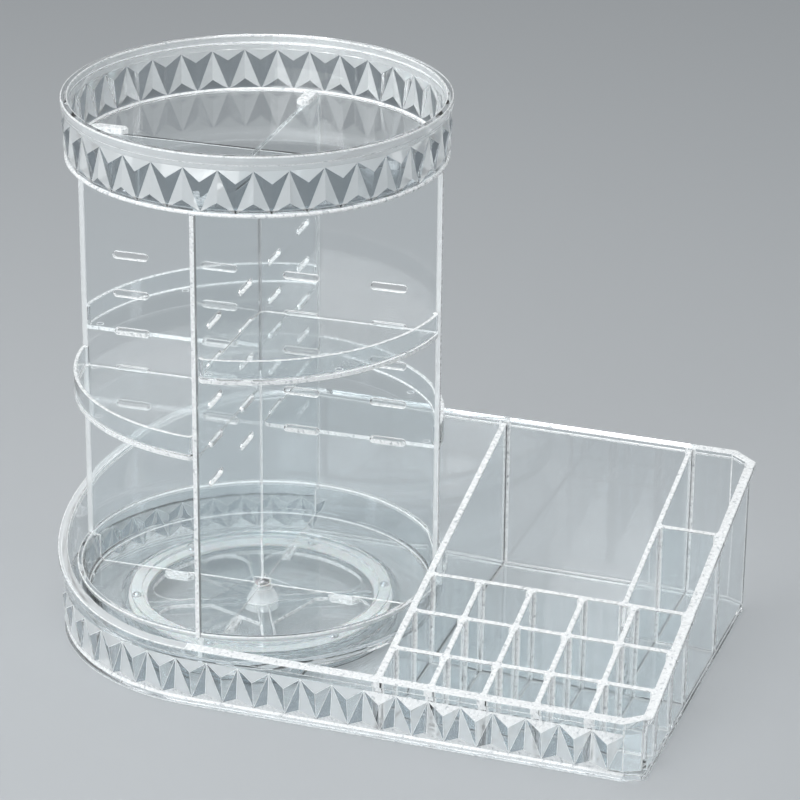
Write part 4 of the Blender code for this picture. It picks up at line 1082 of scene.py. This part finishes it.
def panel_sides(sizes, level):
    """Side view of a panel, anticlockwise: stepped foot, tabs and the notch for the screw."""
    foot, head, notch = level.panel, level.panel_top, 0.0065
    step = level.tray + sizes.tray_height - 0.0030 + GAP
    radius = panel_reach(sizes)
    wall = sizes.tray_radius - 0.0030 - 0.0032 - GAP
    foot_near, foot_far, foot_end = 0.0477, 0.0597, foot - FOOT_TAB_DEPTH
    head_near, head_far, head_end = 0.0850, 0.1010, head + HEAD_TAB_DEPTH
    right = [(notch, level.screw_top + GAP), (notch, foot), (foot_near, foot),
             (foot_near, foot_end), (foot_far, foot_end), (foot_far, foot), (wall - 0.0024, foot),
             (wall, foot + 0.0024), (wall, step), (radius, step), (radius, head),
             (head_far, head), (head_far, head_end), (head_near, head_end), (head_near, head)]
    left = [(-x, z) for x, z in reversed(right)]
    return np.array(right + left)


def stand(grid):
    """Stand a flat piece up: its plan becomes its side view, and its level its depth."""
    return np.stack([grid[..., 0], -grid[..., 2], grid[..., 1]], axis=-1)


class ORGANIZER_OT_panels(bpy.types.Operator):
    """Two crossed panels, half-lapped, with rows of round-ended slots"""

    bl_idname = "organizer.panels"
    bl_label = "Crossed Panels"

    def execute(self, context):
        sizes = context.scene.organizer_tower
        level = heights(context.scene)
        sides = panel_sides(sizes, level)
        half, edge = sizes.panel_thickness / 2, sizes.panel_edge
        middle = (level.panel + level.panel_top) / 2
        grid = plate(soften(sides, 0.0004, 2), *rounded_levels(-half, half, edge))
        # Painted glow: the edge roundings and the upright sides take the near-white finish
        along = abs(np.roll(grid[0], -1, axis=0) - grid[0])
        rim = np.where(along[:, 0] > along[:, 1], CLEAR, EDGE)
        for name, turn, low, high in (
                ("panel_a", TOWER_TURN, middle - GAP, level.panel_top + OVERRUN),
                ("panel_b", TOWER_TURN + QUARTER, level.panel - OVERRUN, middle)):
            panel = lofted(name + "_clear", [stand(grid)], [EDGE] * 3 + [rim] + [EDGE] * 3, turn=turn)
            skin = Skin()
            self.slots(skin, sizes, half, edge)
            lap = box_corners(-half - GAP, low, half + GAP, high)
            # The half-lap's cut faces take a faint painted glow
            skin.loft(stand(column(lap, -half - OVERRUN, half + OVERRUN)), [FAINT_PAINTED_GLOW])
            self.borders(skin, panel_reach(sizes), half, sides[:, 1].min(), level.panel_top)
            carve(panel, [(placed(skin, name + "_cuts", turn), "DIFFERENCE")])
            dress(panel, "tower", [name])
        return {"FINISHED"}

    def borders(self, skin, radius, half, low, high):
        """Wedges that thin the last 3 mm at both ends; their cut faces take a faint painted glow, so
        that the border shows as a band.
        """
        start, end = radius - 0.0030, radius + OVERRUN
        wedge = np.array([(start, half), (end, half - 0.0004), (end, half + OVERRUN),
                          (start, half + OVERRUN)])
        for end, face in ((-1, -1), (-1, 1), (1, -1), (1, 1)):
            mirrored = (wedge * [end, face])[::end * face]
            skin.loft(column(mirrored, low - OVERRUN, high + OVERRUN), [FAINT_PAINTED_GLOW])

    def slots(self, skin, sizes, half, edge):
        """Round-ended slots whose edges flare by a small quarter round at both faces."""
        radius = sizes.slot_height / 2
        reach = sizes.slot_length / 2 - radius
        angle = np.linspace(0, QUARTER, 4)
        depth = np.concatenate([[-half - OVERRUN], -half + edge * np.sin(angle),
                                half - edge * np.cos(angle), [half + OVERRUN]])
        flare = np.concatenate([[edge], edge * (1 - np.sin(angle)), edge * (1 - np.cos(angle)),
                                [edge]])
        for row in range(5):
            height = sizes.slot_first + row * sizes.slot_pitch
            for centre in (-SLOT_PLACES[1], -SLOT_PLACES[0], *SLOT_PLACES):
                arcs = [(centre + reach, height, radius, -QUARTER, QUARTER),
                        (centre - reach, height, radius, QUARTER, 3 * QUARTER)]
                rows = flared(arcs, 10, depth, flare)
                # Painted light: the flare's outer bands and the slot's lower side take the near-white
                # painted glow, the rest of the flare a faint painted glow
                low = rows[0][:, 1] < height - 0.3 * radius
                under = low & np.roll(low, -1)
                wall, mouth = np.where(under, EDGE, CLEAR), np.where(under, EDGE, FAINT_PAINTED_GLOW)
                skin.loft(stand(rows), [EDGE, EDGE, mouth, mouth, wall, mouth, mouth, EDGE, EDGE])


# Shelves: radius of the curved side, how far it reaches from the axis, and its corners
SHELF_RADIUS = 0.1205
SHELF_REACH = 0.1110
SHELF_CORNER = 0.0035


def shelf_rim(radius, corner, edge, back):
    """The shelf's curved side: an arc whose centre lies behind the tower's axis, with a
    rounded corner at each end."""
    reach = radius - corner
    across = edge + corner + back
    lean = math.asin(across / reach)
    x, y = reach * math.cos(lean) - back, across - back
    arcs = [(x, y, corner, -QUARTER, lean), (-back, -back, radius, lean, QUARTER - lean),
            (y, x, corner, QUARTER - lean, math.pi)]
    return outline(arcs, 0.0, [6, 48, 6])


class ORGANIZER_OT_shelves(bpy.types.Operator):
    """Four quarter shelves, each with a lip, tabs in the panels' slots and three ring marks
    where the mould's pins pushed it out"""

    bl_idname = "organizer.shelves"
    bl_label = "Quarter Shelves"

    def execute(self, context):
        sizes = context.scene.organizer_tower
        plan, room = self.plans(sizes)
        for quarter, step in enumerate((0, 2, 1, 3)):
            low = sizes.slot_first + step * sizes.slot_pitch - sizes.slot_height / 2 + GAP
            self.shelf(sizes, plan, room, quarter, low)
        return {"FINISHED"}

    def plans(self, sizes):
        """Plan of a shelf with its tabs and its round heel, and plan of the room on it."""
        edge = sizes.panel_thickness / 2 + GAP
        past = -(sizes.panel_thickness / 2 + 0.0010)
        back = (SHELF_RADIUS - SHELF_REACH) / math.sqrt(2)
        half_tab = sizes.slot_length / 2 - 0.0017
        along = []
        for middle in SLOT_PLACES:
            near, far = middle - half_tab, middle + half_tab
            along += [(near, edge), (near, past), (far, past), (far, edge)]
        along = np.array(along)
        turn = np.linspace(math.pi, 3 * QUARTER, 7)
        heel = edge + 0.0040 + 0.0040 * np.stack([np.cos(turn), np.sin(turn)], axis=1)
        rim = shelf_rim(SHELF_RADIUS, SHELF_CORNER, edge, back)
        plan = np.concatenate([along, rim, along[::-1, ::-1], heel])
        lip, start = sizes.shelf_lip, past - OVERRUN
        inner = shelf_rim(SHELF_RADIUS - lip, SHELF_CORNER - lip, edge + lip, back)
        room = np.concatenate([[(start, start), (inner[0, 0], start)], inner,
                               [(start, inner[-1, 1])]])
        return plan, room

    def shelf(self, sizes, plan, room, quarter, low):
        """One shelf: a rounded plate, less the room on its floor, in which the marks stand."""
        name, turn = "shelf_%d" % (quarter + 1), QUARTER * quarter
        floor, high = low + sizes.shelf_floor, low + sizes.shelf_lip_height
        levels, offsets = rounded_levels(low, high, 0.0003, 2)
        levels, offsets = np.insert(levels, 3, floor), np.insert(offsets, 3, 0.0)
        # Painted glow: the plate's lower edge up to the floor's level, its upper rounding and its top
        # take the near-white finish
        shelf = lofted(name + "_clear", [spin(plate(plan, levels, offsets), turn)],
                       [EDGE, EDGE, EDGE, CLEAR, EDGE, EDGE], (CLEAR, EDGE), turn=TOWER_TURN)
        fillet, mouth = 0.0010, 0.0006
        angle = np.linspace(0, QUARTER, 4)
        levels = np.concatenate([floor + fillet * (1 - np.cos(angle)),
                                 high - mouth + mouth * np.sin(angle), [high + OVERRUN]])
        offsets = np.concatenate([-fillet * (1 - np.sin(angle)), mouth * (1 - np.cos(angle)),
                                  [mouth]])
        # The room's floor fillet takes a faint painted glow and its other rounds the near-white one
        cut = lofted(name + "_room", [spin(plate(room, levels, offsets), turn)],
                     [FAINT_PAINTED_GLOW, EDGE, EDGE, CLEAR] + [EDGE] * 4, turn=TOWER_TURN)
        # The ejector-pin ring marks' walls take the near-white painted glow
        mark = turned(box_corners(0.0019, floor - 0.0003, 0.0024, floor + 0.0001), 32)
        marks = [mark + [0.1045 * math.cos(place), 0.1045 * math.sin(place), 0]
                 for place in np.radians([3.1, 45.0, 86.9]) + turn]
        marks = lofted(name + "_marks", marks, [EDGE] * 4, ring=True, turn=TOWER_TURN)
        carve(cut, [(marks, "DIFFERENCE")])
        carve(shelf, [(cut, "DIFFERENCE")])
        dress(shelf, "tower", [name])


class ORGANIZER_OT_top_tray(bpy.types.Operator):
    """Top tray: floor, skirt, cut-stone band, rim and panel sockets"""

    bl_idname = "organizer.top_tray"
    bl_label = "Top Tray"

    def execute(self, context):
        sizes = context.scene.organizer_tower
        level = heights(context.scene)
        under = level.panel_top + GAP
        tab_top = level.panel_top + HEAD_TAB_DEPTH + GAP
        tray = placed(self.skin(sizes, under), "top_tray_clear", TOWER_TURN)
        # The bosses and the tab holes' walls take the near-white painted glow
        bosses = sockets(HEAD_TABS, under + 0.0013, tab_top + 0.0013, False)
        bosses = lofted("head_bosses", bosses, [EDGE] * 3, (EDGE, EDGE), turn=TOWER_TURN)
        holes = lofted("head_holes", tab_holes(HEAD_TABS, under - OVERRUN, tab_top), [EDGE],
                       (EDGE, EDGE), turn=TOWER_TURN)
        carve(tray, [(bosses, "UNION"), (holes, "DIFFERENCE")], context.scene.organizer_base.crest, -1)
        dress(tray, "tower", ["top_tray"])
        return {"FINISHED"}

    def skin(self, sizes, under):
        """Skirt, cut-stone band, rim and inner wall, from the underside up. Each facet is
        raised to a point, as on the base."""
        skin = Skin()
        floor, top = under + 0.0027, under + sizes.top_height
        count, radius, band = sizes.top_facets, sizes.top_radius, sizes.top_facet_height
        sides = 6 * count
        skirt, foot_in, head_in = radius - 0.0016, radius - 0.0028, radius - 0.0024
        rows = [skin.points(turned([point], sides)) for point in
                [(skirt - 0.0005, under), (skirt, under + 0.0005), (skirt, under + 0.0012),
                 (skirt - 0.0004, under + 0.0016)]]
        foot_level = under + 0.0016 + 0.0005
        head_level = foot_level + band
        upper_level = head_level - band * sizes.top_upper_share
        lower_level = foot_level + band * sizes.top_lower_share
        out = sizes.top_relief
        foot = skin.points(turned([(foot_in, foot_level)], count, 0.5))
        head = skin.points(turned([(head_in, head_level)], count))
        upper = skin.points(turned([(head_in + out, upper_level)], count, 0.5))
        lower = skin.points(turned([(foot_in + out, lower_level)], count))
        rim, inner = top - 0.0055, radius - 0.0044
        wall = inner - 0.0012
        profile = [(head_in, head_level + 0.0005), (head_in, rim - 0.0003), (radius - 0.0020, rim),
                   (radius - 0.0003, rim), (radius, rim + 0.0006), (radius, top - 0.0008),
                   (radius - 0.0003, top - 0.0002), (radius - 0.0009, top), (inner + 0.0008, top),
                   (inner + 0.0002, top - 0.0002), (inner, top - 0.0008), (wall, floor + 0.0030),
                   (wall - 0.0004, floor + 0.0014), (wall - 0.0014, floor + 0.0004),
                   (wall - 0.0030, floor)]
        rings = skin.points(turned(profile, sides)).reshape(len(profile), sides)
        # Painted glow: the skirt and the fan over it take the near-white finish, the fan under the rim
        # a faint one
        skin.bands(rows, [EDGE] * 3)
        fine_at, coarse_at = np.arange(sides + 1) / sides, np.arange(count + 1) / count
        half_at = (np.arange(count + 1) + 0.5) / count
        rolled = np.roll(rows[-1], -3)
        skin.fan(repeated(rolled), repeated(foot), fine_at + 3 / sides, half_at, True, EDGE)
        skin.fan(repeated(rings[0]), repeated(head), fine_at, coarse_at, False, FAINT_PAINTED_GLOW)
        left, right, before = head, np.roll(head, -1), np.roll(foot, 1)
        facets = ((foot, right, upper), (right, left, upper), (left, foot, upper),
                  (before, foot, lower), (foot, head, lower), (head, before, lower))
        # Painted light and shade facet by facet: the V faces and the small lower triangles a painted
        # shade, the others a faint painted glow
        for triple, facet in zip(facets, (SHADE, FAINT_PAINTED_GLOW, SHADE, SHADE, FAINT_PAINTED_GLOW, FAINT_PAINTED_GLOW)):
            skin.take(np.stack(triple, axis=1), facet, smooth=False)
        # The rim's rows mix clear with the near-white painted glow and a faint painted glow
        skin.bands(rings, (FAINT_PAINTED_GLOW, CLEAR, CLEAR, EDGE, FAINT_PAINTED_GLOW, EDGE, EDGE, CLEAR, EDGE, EDGE, CLEAR,
                           CLEAR, EDGE, CLEAR))
        skin.take(rows[0][::-1])
        skin.take(rings[-1])
        return skin


# Stage: the photograph's width and focal length in pixels, the camera's place, its heading,
# tilt and roll, and for each lamp its place, its aim, its width, height and power in watts
PHOTO_WIDTH = 800
PHOTO_FOCAL = 3453.6
CAMERA_PLACE = (0.6242, -1.7907, 0.9772)
CAMERA_TURN = (0.330, -0.407, 0.010)
LAMPS = (("overhead", (-0.35, -0.25, 1.9), (-0.02, 0.0, 0.1), 1.7, 1.5, 16.0),
         ("front_box", (-0.5, -2.0, 1.1), (0.0, 0.0, 0.15), 1.8, 1.4, 28.0),
         ("left_strip", (-1.5, -0.9, 0.75), (0.0, 0.0, 0.15), 0.25, 1.2, 2.5),
         ("right_strip", (1.6, 0.5, 0.8), (0.0, 0.0, 0.15), 0.25, 1.2, 2.5))


class ORGANIZER_OT_stage(bpy.types.Operator):
    """Pale floor, soft lamps, world and the camera at the photograph's angle"""

    bl_idname = "organizer.stage"
    bl_label = "Stage"

    def execute(self, context):
        scene = context.scene
        scene.view_settings.view_transform = "Standard"
        scene.cycles.max_bounces = 40
        scene.cycles.transmission_bounces = 40
        scene.cycles.glossy_bounces = 12
        scene.cycles.transparent_max_bounces = 80
        self.floor(scene)
        self.lamps(scene)
        self.camera(scene)
        return {"FINISHED"}

    def floor(self, scene):
        """A wide flat table top with the faintest paper grain, about 1.4 mm across."""
        material, tree, output, place = new_material("Matt table paper")
        grain = add_node(tree, "ShaderNodeTexNoise", {"Vector": place, "Scale": 700.0, "Detail": 2.0})
        bump = add_node(tree, "ShaderNodeBump", {"Height": grain.outputs[0], "Strength": 0.05,
                                                 "Distance": 0.0002})
        shader = add_node(tree, "ShaderNodeBsdfPrincipled", {
            "Base Color": (*scene.organizer_looks.floor, 1), "Roughness": 0.75,
            "Specular IOR Level": 0.2, "Normal": bump.outputs[0]})
        tree.links.new(shader.outputs[0], output.inputs["Surface"])
        mesh = bpy.data.meshes.new("table")
        half, drop = 12.0, 0.0004
        corners = [(x, y, -drop) for x, y in box_corners(-half, -half, half, half)]
        mesh.from_pydata(corners, [], [(0, 1, 2, 3)])
        mesh.materials.append(material)
        table = bpy.data.objects.new("table", mesh)
        scene.collection.objects.link(table)

    def lamps(self, scene):
        """A broad lamp overhead, a soft box in front, a strip at each side, and a room that is
        dim at the horizon and paler above."""
        world = bpy.data.worlds.new("Studio room")
        world.use_nodes = True
        tree = world.node_tree
        ray = add_node(tree, "ShaderNodeTexCoord").outputs["Generated"]
        height = add_node(tree, "ShaderNodeSeparateXYZ", {"Vector": ray}).outputs["Z"]
        glow = add_node(tree, "ShaderNodeMapRange", {"Value": height, "From Min": 0.0, "From Max": 0.9,
                                                     "To Min": 0.10, "To Max": 0.55})
        room = tree.nodes["Background"]
        room.inputs["Color"].default_value = (*linear("#F4F6F8"), 1)
        tree.links.new(glow.outputs[0], room.inputs["Strength"])
        scene.world = world
        for name, place, aim, wide, tall, power in LAMPS:
            lamp = bpy.data.lights.new(name, "AREA")
            lamp.shape = "RECTANGLE"
            lamp.size = wide
            lamp.size_y = tall
            lamp.energy = power
            holder = bpy.data.objects.new(name, lamp)
            holder.location = place
            holder.rotation_euler = look(np.array(place), np.array(aim))
            scene.collection.objects.link(holder)

    def camera(self, scene):
        """The photograph's view: a long lens from the front right, a little above."""
        lens = bpy.data.cameras.new("photo_view")
        lens.sensor_width = 36.0
        lens.lens = PHOTO_FOCAL * lens.sensor_width / PHOTO_WIDTH
        lens.clip_start = 0.05
        lens.clip_end = 50.0
        holder = bpy.data.objects.new("photo_view", lens)
        holder.location = CAMERA_PLACE
        holder.rotation_euler = view_turn(*CAMERA_TURN)
        scene.collection.objects.link(holder)
        scene.camera = holder


def look(start, end):
    """Turn that points an object's -Z at a place, with its own X level."""
    ahead = (end - start) / np.linalg.norm(end - start)
    pitch = math.asin(ahead[2])
    yaw = math.atan2(-ahead[0], ahead[1])
    return (QUARTER + pitch, 0.0, yaw)


def view_turn(yaw, pitch, roll):
    """Turn of a camera from its heading, its tilt and a small roll about its own axis."""
    level = Euler((QUARTER + pitch, 0.0, yaw)).to_matrix()
    return (level @ Matrix.Rotation(roll, 3, "Z")).to_euler()


class ORGANIZER_PT_panel(bpy.types.Panel):
    """Sidebar panel that lists the pieces"""

    bl_idname = "ORGANIZER_PT_panel"
    bl_label = "Makeup Organizer"
    bl_space_type = "VIEW_3D"
    bl_region_type = "UI"
    bl_category = "Organizer"

    def draw(self, context):
        for maker in MAKERS:
            self.layout.operator(maker.bl_idname)
        for group in GROUPS:
            holder = getattr(context.scene, group)
            box = self.layout.box()
            for name in holder.bl_rna.properties.keys():
                if name not in ("rna_type", "name"):
                    box.prop(holder, name)


MAKERS = (ORGANIZER_OT_stage, ORGANIZER_OT_base_tray, ORGANIZER_OT_turntable, ORGANIZER_OT_bottom_tray,
          ORGANIZER_OT_panels, ORGANIZER_OT_shelves, ORGANIZER_OT_top_tray)
GROUPS = {"organizer_base": BaseSizes, "organizer_turntable": TurntableSizes,
          "organizer_tower": TowerSizes, "organizer_looks": Looks}


def register():
    """Register the classes and hang the settings on the scene."""
    for item in (*GROUPS.values(), *MAKERS, ORGANIZER_PT_panel):
        bpy.utils.register_class(item)
    for name, group in GROUPS.items():
        setattr(bpy.types.Scene, name, PointerProperty(type=group))


def unregister():
    """Take the settings and the classes away again."""
    for name in GROUPS:
        delattr(bpy.types.Scene, name)
    for item in (ORGANIZER_PT_panel, *MAKERS[::-1], *GROUPS.values()):
        bpy.utils.unregister_class(item)


def main():
    """Make every piece in order."""
    register()
    bpy.ops.organizer.stage()
    bpy.ops.organizer.base_tray()
    bpy.ops.organizer.turntable()
    bpy.ops.organizer.bottom_tray()
    bpy.ops.organizer.panels()
    bpy.ops.organizer.shelves()
    bpy.ops.organizer.top_tray()
    bpy.context.view_layer.update()


if __name__ == "__main__":
    main()
